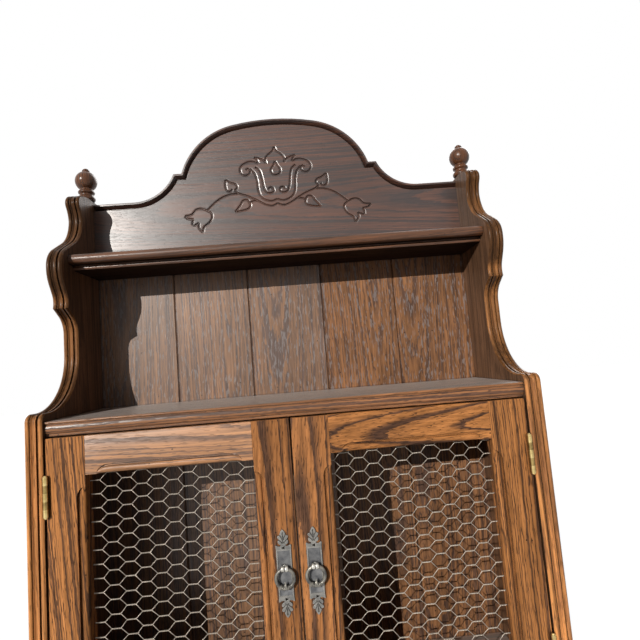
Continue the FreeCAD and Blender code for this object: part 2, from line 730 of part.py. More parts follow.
def make_frame(side, sign, hinge_screws, fastenings):
    """Stiles and rails of one door, tenoned and rabbeted, each with a moulded edge that stops short."""
    across = span(sign, open_near, open_far)
    height = (open_low, open_high)
    wide = dim.sticking_width
    stop = dim.sticking_stop
    end = stop + dim.sticking_run
    sunk = (door_face, door_face + dim.sticking_sink)
    rail_moulding = tapered(f"door_{side}_rail_moulding", sunk,
                            (widened(across, -stop), widened(height, wide)), (widened(across, -end), height))
    stile_moulding = tapered(f"door_{side}_stile_moulding", sunk,
                             (widened(across, wide), widened(height, -stop)), (across, widened(height, -end)))
    rabbet = box(f"door_{side}_rabbet", widened(across, dim.rabbet_width),
                 (door_back - dim.rabbet_sink, door_back), widened(height, dim.rabbet_width))
    depth = (door_face, door_back)
    tenon_depth = (door_face + dim.tenon_front, door_face + dim.tenon_front + dim.tenon_thick)
    tenons = []
    for word, low, high in (("top", open_high, door_high), ("bottom", door_low, open_low)):
        label = f"door_{side}_{word}_rail"
        tenon = box(label + "_tenon", widened(across, dim.tenon_long), tenon_depth,
                    widened((low, high), -dim.tenon_shoulder))
        rail = fuse(label + "_solid", [box(label + "_bar", across, depth, (low, high)), tenon])
        keep(cut(label + "_moulded", rail, [rail_moulding, rabbet]), label)
        tenons.append(tenon)
    stiles = (
        ("meeting", door_near, open_near, fastenings),
        ("hinge", open_far, door_far, [hinge_screws]),
    )
    for word, near, far, fixings in stiles:
        label = f"door_{side}_{word}_stile"
        bar = box(label + "_bar", span(sign, near, far), depth, (door_low, door_high))
        keep(cut(label + "_moulded", bar, [stile_moulding, rabbet] + tenons + fixings), label)


def plate_corners():
    """Outline of a pull plate: a rectangle with a lobed leaf at each end."""
    corner = (dim.plate_half, dim.plate_rise)
    lobes = [(dim.leaf_half * u, dim.plate_rise + dim.leaf_rise * v) for u, v in LEAF_LOBES]
    tip = (size_of(0), dim.plate_rise + dim.leaf_rise)
    quarter = [corner] + lobes
    top = quarter + [tip] + [(-u, v) for u, v in reversed(quarter)]
    return [(u, v, STRAIGHT) for u, v in top + [(-u, -v) for u, v in top]]


def make_pull(side, sign):
    """Plate, pins and eye of one pull on the meeting stile, and the ring that hangs in the eye."""
    label = f"pull_{side}"
    x = sign * dim.pull_across
    plate_face = door_face - dim.plate_thick
    ring_y = plate_face - dim.ring_stand
    ring_z = dim.pull_high - dim.ring_drop
    eye_z = ring_z + dim.ring_radius
    pin_rise = dim.plate_rise - dim.pin_inset

    pieces = []
    for step in (-1, 1):
        z = dim.pull_high + step * pin_rise
        pieces.append(rod(f"{label}_pin_head_{step + 1}", (x, plate_face - dim.pin_head_thick, z), "+y",
                          dim.pin_head, dim.pin_head_thick))
        pieces.append(rod(f"{label}_pin_shank_{step + 1}", (x, plate_face, z), "+y",
                          dim.pin_shank, dim.plate_thick + dim.pin_long))
    pins = keep(fuse(label + "_pin_group", pieces), f"pull_pins_{side}")

    tube = rod(label + "_eye_tube", (x - dim.eye_width / 2, ring_y, eye_z), "+x",
               dim.eye_radius, dim.eye_width)
    shank_start = ring_y + dim.eye_bore + dim.eye_web
    shank = rod(label + "_eye_shank", (x, shank_start, eye_z), "+y", dim.eye_shank,
                door_face + dim.eye_shank_long - shank_start)
    bore = rod(label + "_eye_bore", (x - dim.eye_width, ring_y, eye_z), "+x",
               dim.eye_bore, 2 * dim.eye_width)
    keep(cut(label + "_eye_drilled", fuse(label + "_eye_solid", [tube, shank]), [bore]), f"pull_eye_{side}")

    body = padded(label + "_plate", "XZ_Plane", plate_corners(), dim.plate_thick)
    place(body, x, door_face, dim.pull_high)
    keep(cut(label + "_plate_drilled", body, [pins, shank]), f"pull_plate_{side}")

    hoop = doc.addObject("Part::Torus", label + "_hoop")
    hoop.Placement = FreeCAD.Placement(FreeCAD.Vector(), TURNS["+y"])
    bind(hoop, Radius1=dim.ring_radius, Radius2=dim.ring_wire)
    place(hoop, x, ring_y, ring_z)
    near_top = dim.ring_collar_turn.value
    collars = []
    for index, angle in enumerate((-near_top, near_top, 180 - near_top, 180 + near_top)):
        up, along = math.cos(math.radians(angle)), math.sin(math.radians(angle))
        start = (x + along * dim.ring_radius - up * dim.ring_collar_long / 2, ring_y,
                 ring_z + up * dim.ring_radius + along * dim.ring_collar_long / 2)
        collar = rod(f"{label}_collar_{index}", start, "+x", dim.ring_collar, dim.ring_collar_long)
        collar.Placement.Rotation = FreeCAD.Rotation(FreeCAD.Vector(0, 1, 0), angle + 90)
        collars.append(collar)
    cusp = taper(label + "_cusp", (x, ring_y, ring_z - dim.ring_radius), "+z", dim.cusp_foot, dim.cusp_tip,
                 dim.cusp_rise)
    keep(fuse(label + "_ring_solid", [hoop] + collars + [cusp]), f"pull_ring_{side}")
    return [pins, shank]


# Side boards need the shapes that are let into them, so fastenings and housings come first
nails = []
board_wide = 2 * inner_half / dim.back_count
for board in range(int(dim.back_count.value)):
    edge = -inner_half + board * board_wide
    for step, x in enumerate((edge + dim.nail_inset, edge + board_wide - dim.nail_inset)):
        for level, z in enumerate((dim.floor_thick / 2, dim.deck_top - dim.deck_thick / 2)):
            name = f"nail_{board}{step}{level}"
            nails.append(rod(name + "_shank", (x, wall - dim.nail_long, z), "+y", dim.nail_shank,
                             dim.nail_long - dim.nail_head_thick))
            nails.append(rod(name + "_head", (x, wall - dim.nail_head_thick, z), "+y", dim.nail_head,
                             dim.nail_head_thick))
back_nails = keep(fuse("back_nail_group", nails), "back_nails")

wall_holes = []
for side, sign in SIDES:
    start = (sign * dim.wall_hole_pitch / 2, back_face - 2 * dim.hanger_thick,
             deck_under - dim.hanger_high / 2)
    wall_holes.append(rod(f"wall_hole_{side}", start, "+y", dim.wall_hole_radius, 4 * dim.hanger_thick))

# Shelf, deck and cupboard floor
housed_board("top_shelf", shelf_corners(dim.shelf_top, dim.shelf_thick, shelf_front, wall),
             shelf_front, wall, shelf_under, dim.shelf_top)
housed_board("deck_board", deck_corners(dim.deck_top, dim.deck_thick, board_front, back_face),
             board_front, back_face, deck_under, dim.deck_top, [back_nails])
housed_board("bottom_board", deck_corners(floor_top, dim.floor_thick, board_front, back_face),
             board_front, back_face, size_of(0), floor_top, [back_nails])

# Back boards, tongued and grooved with a bevelled seam
for number in range(int(dim.back_count.value)):
    first = number == 0
    last = number == int(dim.back_count.value) - 1
    middle = (back_face + wall) / 2
    tongue = dim.tongue_thick / 2
    groove = tongue + dim.tongue_play / 2
    left = -inner_half + number * board_wide + dim.seam_gap / 2
    right = -inner_half + (number + 1) * board_wide - dim.seam_gap / 2
    if first:
        rabbet_left = -inner_half - dim.back_rabbet
        left_edge = [(rabbet_left, wall), (rabbet_left, back_face)]
    else:
        deep = left + dim.tongue_long + dim.tongue_play
        left_edge = [(left, wall), (left, middle + groove), (deep, middle + groove), (deep, middle - groove),
                     (left, middle - groove), (left, back_face + dim.seam_bevel),
                     (left + dim.seam_bevel, back_face)]
    if last:
        rabbet_right = inner_half + dim.back_rabbet
        right_edge = [(rabbet_right, back_face), (rabbet_right, wall)]
    else:
        reach = right + dim.tongue_long
        right_edge = [(right - dim.seam_bevel, back_face), (right, back_face + dim.seam_bevel),
                      (right, middle - tongue), (reach, middle - tongue), (reach, middle + tongue),
                      (right, middle + tongue), (right, wall)]
    label = f"back_board_{number + 1}"
    plank = padded(label + "_plank", "XY_Plane",
                   [(x, y, STRAIGHT) for x, y in left_edge + right_edge], shelf_under)
    keep(cut(label + "_drilled", plank, [back_nails] + wall_holes), label)

# Crest with a bead along its top edge
crest = padded("crest_plank", "XZ_Plane", crest_corners(0), dim.crest_thick, back=True)
place(crest, 0, wall - dim.crest_thick, 0)
crest_face = (0, wall - dim.crest_thick, 0)
quirk = band("crest_quirk", crest_corners(MARGIN), CREST_TURN, crest_face, FreeCAD.Vector(0, 1, 0),
             dim.quirk_sink, -dim.bead_width, -dim.bead_width - dim.quirk_width)
keep(cut("crest_beaded", crest, [quirk]), "crest_board")

# Side boards with two grooves that leave three reeds on the front edge
reed_band = band("reed_band", side_corners(MARGIN), SIDE_TURN, (-half, 0, 0), FreeCAD.Vector(1, 0, 0),
                 dim.case_width, size_of(CUT_SPARE / 2), -dim.reed_sink)
for side, sign in SIDES:
    lows = (inner_half + dim.reed_width, half - dim.reed_width - dim.reed_gap)
    depth = (front - CUT_SPARE, wall + CUT_SPARE)
    height = (size_of(-CUT_SPARE), dim.side_top + CUT_SPARE)
    slots = [box(f"reed_slot_{side}_{index}", span(sign, low, low + dim.reed_gap), depth, height)
             for index, low in enumerate(lows)]
    grooves = doc.addObject("Part::Common", f"reed_grooves_{side}")
    grooves.Base = reed_band
    grooves.Tool = fuse(f"reed_slots_{side}", slots)

    finial_y = wall - dim.finial_wall_gap
    finial_x = sign * (half - dim.side_thick / 2)
    hole = rod(f"dowel_hole_{side}", (finial_x, finial_y, dim.side_top - dim.dowel_long), "+z",
               dim.dowel_radius + dim.dowel_play, dim.dowel_long + CUT_SPARE)
    rabbet = box(f"back_rabbet_{side}", span(sign, inner_half, inner_half + dim.back_rabbet),
                 (back_face, wall), (size_of(0), shelf_under))
    housings = [
        housing(f"shelf_housing_{side}", sign, shelf_front, wall, shelf_under, dim.shelf_top),
        housing(f"deck_housing_{side}", sign, board_front, back_face, deck_under, dim.deck_top),
        housing(f"floor_housing_{side}", sign, board_front, back_face, size_of(0), floor_top),
    ]
    case_leaf_face = inner_half - dim.leaf_thick
    case_screws = make_screws(f"case_screw_group_{side}", screw_places(), "+x" if sign > 0 else "-x",
                              sign * case_leaf_face)
    keep(case_screws, f"case_hinge_screws_{side}")

    plank = padded(f"side_{side}_plank", "YZ_Plane", side_corners(0), dim.side_thick)
    place(plank, span(sign, inner_half, half)[0], 0, 0)
    keep(cut(f"side_{side}_worked", plank, [grooves, hole, rabbet, case_screws] + housings), f"side_{side}")

    # Turned finial on a dowel
    button_low = dim.ball_high + 2 * dim.button_step
    cap_low = button_low + dim.button_foot
    cap_rise = dim.finial_height - cap_low
    cap_round = (dim.button_radius * dim.button_radius + cap_rise * cap_rise) / (2 * cap_rise)
    turned = [
        (size_of(0), -dim.dowel_long, STRAIGHT),
        (dim.dowel_radius, -dim.dowel_long, STRAIGHT),
        (dim.dowel_radius, size_of(0), STRAIGHT),
        (dim.collar_radius - dim.collar_swell, size_of(0), (dim.collar_round, 1)),
        (dim.collar_radius - dim.collar_swell, dim.collar_high, STRAIGHT),
        (dim.neck_radius, dim.disc_low, STRAIGHT),
        (dim.disc_radius, dim.disc_low + dim.disc_bevel, STRAIGHT),
        (dim.disc_radius, dim.disc_high - dim.disc_bevel, STRAIGHT),
        (dim.neck_radius, dim.disc_high, (dim.neck_round, -1)),
        (dim.neck_radius, dim.ball_low, (dim.ball_round, 1)),
        (dim.button_radius, dim.ball_high + dim.button_step, STRAIGHT),
        (dim.button_radius - 2 * dim.button_step, button_low, STRAIGHT),
        (dim.button_radius, cap_low, (cap_round, 1)),
        (size_of(0), dim.finial_height, STRAIGHT),
    ]
    finial, profile = outline_body(f"finial_{side}_turning", "XZ_Plane", turned)
    lathe = finial.newObject("PartDesign::Revolution", f"finial_{side}_revolution")
    lathe.Profile = profile
    lathe.ReferenceAxis = (profile, ["V_Axis"])
    lathe.Angle = 360
    finial.Tip = lathe
    place(finial, finial_x, finial_y, dim.side_top)
    keep(finial, f"finial_{side}")

    # Hinges
    door_leaf_face = door_far + dim.leaf_thick
    door_screws = make_screws(f"door_screw_group_{side}", screw_places(), "-x" if sign > 0 else "+x",
                              sign * door_leaf_face)
    keep(door_screws, f"door_hinge_screws_{side}")
    for level in LEVELS:
        make_hinge_leaf(f"hinge_{side}_{level}_case_leaf", sign, level, case_leaf_face,
                        CASE_KNUCKLES, case_screws)
        make_hinge_leaf(f"hinge_{side}_{level}_door_leaf", sign, level, door_far,
                        DOOR_KNUCKLES, door_screws)
        make_hinge_pin(f"hinge_{side}_{level}_pin", sign, level)

    # Door with its pull, net and strike
    fastenings = make_pull(side, sign)
    make_frame(side, sign, door_screws, fastenings)
    make_net(f"wire_net_{side}", sign)
    make_net_stops(f"net_stops_{side}", sign)
    catch_far = dim.catch_near + dim.catch_long
    strike_across = span(sign, dim.catch_near + dim.strike_inset, catch_far - dim.strike_inset)
    strike_low = deck_under - dim.catch_high - dim.strike_low
    keep(box(f"strike_{side}_plate", strike_across, (door_back, door_back + dim.strike_thick),
             (strike_low, door_high - dim.strike_top)), f"strike_{side}")

    # Magnetic catch under the deck
    catch_front = door_back + dim.strike_thick + dim.catch_gap
    keep(box(f"catch_{side}_block", span(sign, dim.catch_near, catch_far),
             (catch_front, catch_front + dim.catch_deep), (deck_under - dim.catch_high, deck_under)),
         f"catch_{side}")

# Rail under the deck that takes the wall screws
hanger = box("hanging_rail_bar", (-inner_half, inner_half), (back_face - dim.hanger_thick, back_face),
             (deck_under - dim.hanger_high, deck_under))
keep(cut("hanging_rail_drilled", hanger, wall_holes), "hanging_rail")

doc.recompute()

for item in doc.Objects:
    if "Invalid" in item.State or "Error" in item.State:
        raise RuntimeError(f"{item.Label} failed: {item.State}")
for item in sub_parts:
    if item.Shape.isNull() or not item.Shape.isValid() or not item.Shape.Solids:
        raise RuntimeError(f"{item.Label} has no valid solid")

os.makedirs("parts", exist_ok=True)
for item in sub_parts:
    item.Shape.exportStep(f"parts/{item.Label}.step")
    print(f"{item.Label}: {len(item.Shape.Solids)} solids, {item.Shape.Volume / 1000:.2f} cm3")
print(f"{len(sub_parts)} sub-parts")
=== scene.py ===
import math
import random
from collections import namedtuple

import bmesh
import bpy
from mathutils import Euler, Matrix, Vector
from mathutils.geometry import interpolate_bezier


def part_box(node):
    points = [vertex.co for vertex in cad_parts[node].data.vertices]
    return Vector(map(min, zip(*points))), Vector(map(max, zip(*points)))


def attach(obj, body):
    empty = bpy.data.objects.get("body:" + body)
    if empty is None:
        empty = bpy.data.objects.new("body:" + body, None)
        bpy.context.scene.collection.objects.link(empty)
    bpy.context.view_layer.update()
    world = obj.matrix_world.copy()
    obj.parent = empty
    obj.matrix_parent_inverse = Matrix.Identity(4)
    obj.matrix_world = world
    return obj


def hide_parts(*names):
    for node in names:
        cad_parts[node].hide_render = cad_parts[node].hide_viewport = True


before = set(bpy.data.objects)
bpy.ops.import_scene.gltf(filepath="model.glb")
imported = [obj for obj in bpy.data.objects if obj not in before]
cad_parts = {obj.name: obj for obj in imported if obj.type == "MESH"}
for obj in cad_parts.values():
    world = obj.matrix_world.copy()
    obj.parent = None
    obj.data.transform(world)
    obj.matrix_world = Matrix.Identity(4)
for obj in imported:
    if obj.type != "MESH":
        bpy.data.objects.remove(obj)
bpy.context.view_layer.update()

# Wall curio cabinet in stained oak, dressed round its frame.
# Pieces are drawn in millimetres and scaled to metres when they are finished.
MM = 0.001
scene = bpy.context.scene
draws = random.Random(7)


def node_box(node):
    """Lowest and highest corner of a node of the frame, in millimetres."""
    low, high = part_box(node)
    return low / MM, high / MM


SIDES = (("left", -1), ("right", 1))
RIGHT, TO_WALL, UP = (1, 0, 0), (0, 1, 0), (0, 0, 1)
LEFT, TO_ROOM, DOWN = (-1, 0, 0), (0, -1, 0), (0, 0, -1)
side_low, side_high = node_box("side_right")
FRONT, WALL = side_low.y, side_high.y
INNER, HALF = side_low.x, side_high.x
SIDE_TOP = side_high.z
SHELF_LOW, SHELF_HIGH = node_box("top_shelf")
DECK_LOW, DECK_HIGH = node_box("deck_board")
BOTTOM_LOW, BOTTOM_HIGH = node_box("bottom_board")
CREST_LOW, CREST_HIGH = node_box("crest_board")
BACK_LOW, BACK_HIGH = node_box("back_board_3")
BACK_END = node_box("back_board_5")[1].x

# Length that an outline or a tool has to spare, the space under which two points become one, the finest step
# round a bend, and a sawn board's soft edge
SPARE = 30
WELD = 0.001
BEND_STEP = math.radians(6)
SOFT = 0.8


# Materials

SOCKET = bpy.types.NodeSocket
EVENLY = Vector((1.0, 1.0, 1.0))
MIDDLE_GREY = (0.5, 0.5, 0.5)


def opaque(colour):
    """A colour or a grey level that nothing shows through."""
    return (*colour, 1.0) if isinstance(colour, tuple) else (colour, colour, colour, 1.0)


class Nodes:
    """Makes the nodes of a tree and joins them. An input is a value or another node's output."""

    def __init__(self, tree):
        self.tree = tree

    def feed(self, socket, value):
        if isinstance(value, SOCKET):
            self.tree.links.new(value, socket)
        else:
            socket.default_value = value

    def add(self, kind, inputs=None, **settings):
        made = self.tree.nodes.new("ShaderNode" + kind)
        for name, value in settings.items():
            setattr(made, name, value)
        for key, value in (inputs or {}).items():
            self.feed(made.inputs[key], value)
        return made

    def calc(self, operation, first, second=0.0, clamp=False):
        """Arithmetic on two numbers."""
        return self.add("Math", {0: first, 1: second}, operation=operation, use_clamp=clamp).outputs[0]

    def times(self, first, second, clamp=False):
        return self.calc("MULTIPLY", first, second, clamp)

    def vector(self, operation, first, second):
        """Arithmetic on two vectors."""
        return self.add("VectorMath", {0: first, 1: second}, operation=operation).outputs[0]

    def along(self, vector, axis):
        return self.add("SeparateXYZ", {0: vector}).outputs[axis]

    def noise(self, vector, cells, detail=2.0, rough=0.5, output="Fac"):
        """Noise with a number of cells to the metre along each axis."""
        stretched = self.vector("MULTIPLY", vector, cells)
        made = self.add("TexNoise", {"Vector": stretched, "Scale": 1.0, "Detail": detail, "Roughness": rough})
        return made.outputs[output]

    def wander(self, start, vector, cells, reach):
        """A place moved by a noise at a vector, at most half the reach to either side along each axis."""
        colour = self.noise(vector, cells, output="Color")
        offset = self.vector("SUBTRACT", colour, MIDDLE_GREY)
        return self.vector("ADD", start, self.vector("MULTIPLY", offset, reach))

    def ramp(self, factor, stops):
        """Colours or grey levels along a factor, from (place, colour) stops."""
        made = self.add("ValToRGB", {"Fac": factor})
        elements = made.color_ramp.elements
        while len(elements) < len(stops):
            elements.new(1.0)
        for element, (place, colour) in zip(elements, stops):
            element.position = place
            element.color = opaque(colour)
        return made.outputs["Color"]

    def blend(self, factor, first, second, mode="MIX"):
        """Two colours mixed by a factor."""
        first, second = [item if isinstance(item, SOCKET) else opaque(item) for item in (first, second)]
        return self.add("Mix", {0: factor, 6: first, 7: second}, data_type="RGBA", blend_type=mode).outputs[2]

    def tint(self, colour, levels):
        return self.blend(1.0, colour, levels, "MULTIPLY")

    def true_normal(self):
        return self.add("NewGeometry").outputs["True Normal"]

    def edges(self, radius):
        """How near a surface is to an edge, from its rounded normal."""
        rounded = self.add("Bevel", {"Radius": radius}, samples=4).outputs[0]
        agree = self.add("VectorMath", {0: rounded, 1: self.true_normal()}, operation="DOT_PRODUCT")
        return self.calc("SUBTRACT", 1.0, agree.outputs["Value"], clamp=True)

    def open_air(self, reach):
        """How open a surface lies, within a reach."""
        return self.add("AmbientOcclusion", {"Distance": reach}, samples=4).outputs["AO"]

    def seen_directly(self):
        """1 for rays from the camera, or by way of metal or glass."""
        path = self.add("LightPath").outputs
        mirrored = self.calc("MAXIMUM", path["Is Glossy Ray"], path["Is Transmission Ray"])
        return self.calc("MAXIMUM", path["Is Camera Ray"], mirrored)


class Finish(Nodes):
    """A new material and its surface."""

    def __init__(self, name):
        self.material = bpy.data.materials.new(name)
        self.material.use_nodes = True
        super().__init__(self.material.node_tree)
        self.inputs = self.tree.nodes["Principled BSDF"].inputs

    def place(self):
        return self.add("TexCoord").outputs["Object"]

    def surface(self, values):
        for name, value in values.items():
            self.feed(self.inputs[name], value)

    def bump(self, height, strength, distance):
        made = self.add("Bump", {"Height": height, "Strength": strength, "Distance": distance})
        self.feed(self.inputs["Normal"], made.outputs[0])


# Oak: how a board's grain, width and face lie, as a turn to (along, across, deep)
GRAIN_TURNS = {
    "rail": Matrix.Rotation(math.radians(-90), 3, "X"),
    "stile": Matrix.Rotation(math.radians(120), 3, Vector((1, 1, 1))),
    "shelf": Matrix.Identity(3),
    "side": Matrix.Rotation(math.radians(90), 3, "Y"),
}
# Finish of a group of boards: light and dark wood, gloss, roughness, how open its pores are, how far its
# edges are rubbed and its rings frayed in millimetres, the pores to a metre, and a pale colour painted in the
# pores over the deck as glints of light
Wood = namedtuple("Wood", "light dark gloss rough pores wear fray pore_cells dusty",
                  defaults=(2.2, 900.0, None))
RAIL_WOOD = Wood((0.54, 0.222, 0.072), (0.105, 0.052, 0.033), 0.12, 0.40, 0.85, 1.2)
# Left door's rails: paler and lower in contrast, partly the boards' own colour, partly a painted sheen
PAINTED_SHEEN_RAIL_WOOD = Wood((0.50, 0.240, 0.108), (0.19, 0.097, 0.057), 0.5, 0.40, 0.6, 1.2)
STILE_WOOD = Wood((0.43, 0.178, 0.062), (0.10, 0.050, 0.031), 0.12, 0.40, 0.85, 1.2)
HINGE_WOOD = Wood((0.48, 0.198, 0.064), (0.12, 0.056, 0.030), 0.12, 0.38, 0.8, 1.2)
REED_WOOD = Wood((0.40, 0.172, 0.058), (0.265, 0.115, 0.046), 0.12, 0.30, 0.5, 0.8)
SIDE_WOOD = Wood((0.165, 0.086, 0.047), (0.110, 0.059, 0.035), 0.12, 0.38, 0.4, 1.2)
SHELF_WOOD = Wood((0.150, 0.060, 0.026), (0.080, 0.036, 0.019), 0.45, 0.32, 0.5, 1.5)
DECK_WOOD = Wood((0.33, 0.142, 0.056), (0.115, 0.053, 0.030), 0.4, 0.32, 0.7, 1.5)
# The back boards' last colour is a pale tint painted in their pores above the deck as glints of light
BACK_WOOD = Wood((0.258, 0.120, 0.053), (0.105, 0.057, 0.039), 0.2, 0.40, 0.6, 1.0, 5.0, 430.0,
                 (0.255, 0.220, 0.212))
GLOSSY_BACK_WOOD = Wood((0.245, 0.128, 0.067), (0.105, 0.064, 0.050), 0.55, 0.39, 0.5, 1.0, 4.0, 430.0,
                        (0.255, 0.235, 0.235))
CREST_WOOD = Wood((0.100, 0.041, 0.025), (0.036, 0.020, 0.017), 0.75, 0.32, 0.2, 1.3)
FINIAL_WOOD = Wood((0.150, 0.057, 0.023), (0.060, 0.026, 0.013), 0.3, 0.26, 0.2, 1.0)
# Downward faces of the shelf, deck and floor: near-black, a painted shade under the boards
UNDERSIDE_SHADE_WOOD = Wood((0.034, 0.017, 0.010), (0.020, 0.010, 0.007), 0.05, 0.70, 0.6, 1.0)
REAR_WOOD = Wood((0.21, 0.108, 0.058), (0.115, 0.062, 0.037), 0.06, 0.60, 0.8, 1.0)

# Patterns in oak: cells to the metre along, across and into a board, and the sway of its rings in metres
RING_CELLS, RING_SWAY = (2.0, 9.0, 9.0), (0.0, 0.014, 0.014)
FRAY_CELLS = (55.0, 300.0, 300.0)
STREAK_CELLS, STREAK_LEVELS = (6.0, 330.0, 330.0), ((0.32, 0.58), (0.68, 1.36))
STAIN_CELLS, STAIN_LEVELS = (6.0, 16.0, 16.0), ((0.32, 0.74), (0.68, 1.2))
RUB_CELLS = (30.0, 60.0, 60.0)
ACROSS = (0.0, 1.0, 1.0)
# How unevenly years follow each other
SEASON_CELLS, SEASON_SHIFT = 0.7, 2.2
# How the streaks change the roughness, how high they stand, and the strength and depth of the relief
STREAK_ROUGH, STREAK_SMOOTH, STREAK_RISE = 0.07, 0.05, 0.6
OAK_RELIEF = (0.45, 0.3 * MM)
# Pores: cells along the grain, the noise over which they open in early wood and how much more in late wood
PORES_ALONG, PORE_START, PORE_LATE, PORE_STEEP = 70.0, 0.53, 0.09, 14.0
PORE_SHADE, PORE_ROUGH = 0.36, 0.55
# Dark specks: cells to the metre, the share of cells without one, their size in a cell, how well they cover
SPECK_CELLS, SPECK_RARE, SPECK_SIZE, SPECK_COVER = 75.0, 0.6, 0.07, 0.85
SPECK_COLOUR = (0.010, 0.007, 0.005)
# Rubbed edges: gain of the noise, how well they cover, and how they differ from the light wood
RUB_GAIN, RUB_COVER = 2.4, 0.75
RUBBED_GAIN, RUBBED_LIFT = 1.2, (0.10, 0.055, 0.03)
# Darker in hollows, grooves and corners between parts, by how open they lie: partly dark glaze, partly
# painted shade
GLAZE_AND_SHADE_REACH, GLAZE_AND_SHADE_LEVELS = 5.0, ((0.35, 0.22), (0.75, 1.0))
# Share of an upward face that dust hides, its unevenness, colour and sheen. The grey colour is partly dust,
# partly a painted sheen of reflected light
DUST, DUST_THIN, DUST_UNEVEN = 0.5, 0.7, 0.6
DUST_AND_SHEEN_COLOUR, DUST_SHEEN, DUST_ROUGH = (0.30, 0.285, 0.265), 0.35, 0.35
# Height of the cabinet that these levels run over, and the levels of the reeded edges by height: partly an
# uneven stain, partly painted shade, as in the dark bands under the tooth
TALL = 840
REED_STAIN_AND_SHADE = ((0, 1.55), (388, 1.55), (408, 0.4), (440, 0.4), (470, 0.85), (516, 0.85), (530, 0.32),
              (546, 0.75), (558, 0.22), (612, 0.22), (640, 0.45), (665, 0.28), (735, 0.24))


def oak(name, grain, heart, lean, ring, wood, early=0.3, stain_and_shade=None):
    """Stained oak. The heart is a point of the tree's middle in millimetres, the lean its slope to the board
    in degrees, deep and across, the ring the width of a year's growth and early the dark share of it. The
    stain and shade are (height, level) pairs, partly an uneven stain and partly painted shade."""
    finish = Finish(name)
    slope = Euler((0, math.radians(lean[0]), math.radians(lean[1]))).to_matrix()
    turn = slope @ GRAIN_TURNS[grain]
    place = finish.place()
    height = finish.along(place, "Z")
    board = finish.add("Mapping", {
        "Vector": place, "Location": -(turn @ (Vector(heart) * MM)), "Rotation": turn.to_euler()}).outputs[0]

    swayed = finish.wander(board, board, RING_CELLS, RING_SWAY)
    frayed = finish.wander(swayed, board, FRAY_CELLS, (0.0, wood.fray * MM, wood.fray * MM))
    radial = finish.vector("MULTIPLY", frayed, ACROSS)
    radius = finish.add("VectorMath", {0: radial}, operation="LENGTH").outputs["Value"]
    years = finish.calc("DIVIDE", radius, ring * MM)
    seasons = finish.add("TexNoise", {"W": years, "Scale": SEASON_CELLS, "Detail": 2.0},
                         noise_dimensions="1D").outputs["Fac"]
    year = finish.calc("FRACT", finish.calc("ADD", years, finish.times(seasons, SEASON_SHIFT)))
    late = finish.ramp(year, ((0.0, 0.1), (0.55 * early, 0.0), (1.5 * early, 0.9), (0.9, 1.0), (1.0, 0.6)))
    colour = finish.blend(late, wood.dark, wood.light)
    streak = finish.noise(swayed, STREAK_CELLS, 3.0, 0.65)
    colour = finish.tint(colour, finish.ramp(streak, STREAK_LEVELS))
    stain = finish.noise(board, STAIN_CELLS, 3.0)
    colour = finish.tint(colour, finish.ramp(stain, STAIN_LEVELS))
    # Levels by height: partly an uneven stain, partly painted shade
    if stain_and_shade:
        share = finish.calc("DIVIDE", height, TALL * MM)
        colour = finish.tint(colour, finish.ramp(share, [(z / TALL, level) for z, level in stain_and_shade]))

    pore_noise = finish.noise(frayed, (PORES_ALONG, wood.pore_cells, wood.pore_cells), 1.0)
    pore_edge = finish.calc("ADD", PORE_START, finish.times(late, PORE_LATE))
    pores = finish.times(finish.calc("SUBTRACT", pore_noise, pore_edge), PORE_STEEP, clamp=True)
    pores = finish.times(pores, wood.pores)
    pore_fill_and_glint = tuple(PORE_SHADE * c for c in wood.dark)
    # Above the deck the pores get a pale painted tint that stands in for glints of light
    if wood.dusty:
        glint_zone = finish.calc("GREATER_THAN", height, DECK_HIGH.z * MM)
        pore_fill_and_glint = finish.blend(glint_zone, pore_fill_and_glint, wood.dusty)
    colour = finish.blend(pores, colour, pore_fill_and_glint)

    cells = finish.add("TexVoronoi", {"Vector": board, "Scale": SPECK_CELLS}).outputs
    draw = finish.add("SeparateColor", {"Color": cells["Color"]}).outputs[0]
    chosen = finish.calc("GREATER_THAN", draw, SPECK_RARE)
    specks = finish.times(chosen, finish.calc("LESS_THAN", cells["Distance"], SPECK_SIZE))
    colour = finish.blend(finish.times(specks, SPECK_COVER), colour, SPECK_COLOUR)

    rub = finish.noise(board, RUB_CELLS)
    worn = finish.times(finish.edges(wood.wear * MM), finish.times(rub, RUB_GAIN), clamp=True)
    rubbed = tuple(min(1.0, RUBBED_GAIN * c + lift) for c, lift in zip(wood.light, RUBBED_LIFT))
    colour = finish.blend(finish.times(worn, RUB_COVER), colour, rubbed)
    # Darkening by how open a spot lies: partly glaze, partly painted shade in grooves and corners
    colour = finish.tint(colour, finish.ramp(finish.open_air(GLAZE_AND_SHADE_REACH * MM), GLAZE_AND_SHADE_LEVELS))
    # Upward faces of level boards turn grey: partly dust, partly a painted sheen
    if grain == "shelf":
        upward = finish.ramp(finish.along(finish.true_normal(), "Z"), ((0.75, 0.0), (1.0, DUST)))
        dust_and_sheen = finish.times(upward, finish.calc("ADD", DUST_THIN, finish.times(rub, DUST_UNEVEN)))
        finish.surface({"Sheen Weight": finish.times(dust_and_sheen, DUST_SHEEN), "Sheen Roughness": DUST_ROUGH})
        colour = finish.blend(dust_and_sheen, colour, DUST_AND_SHEEN_COLOUR)

    polish = finish.ramp(streak, ((0.3, wood.rough + STREAK_ROUGH), (0.7, wood.rough - STREAK_SMOOTH)))
    finish.surface({"Base Color": colour, "Roughness": finish.blend(pores, polish, PORE_ROUGH),
                    "Specular IOR Level": wood.gloss})
    hollow = finish.calc("ADD", pores, specks)
    finish.bump(finish.calc("SUBTRACT", finish.times(streak, STREAK_RISE), hollow), *OAK_RELIEF)
    return finish.material


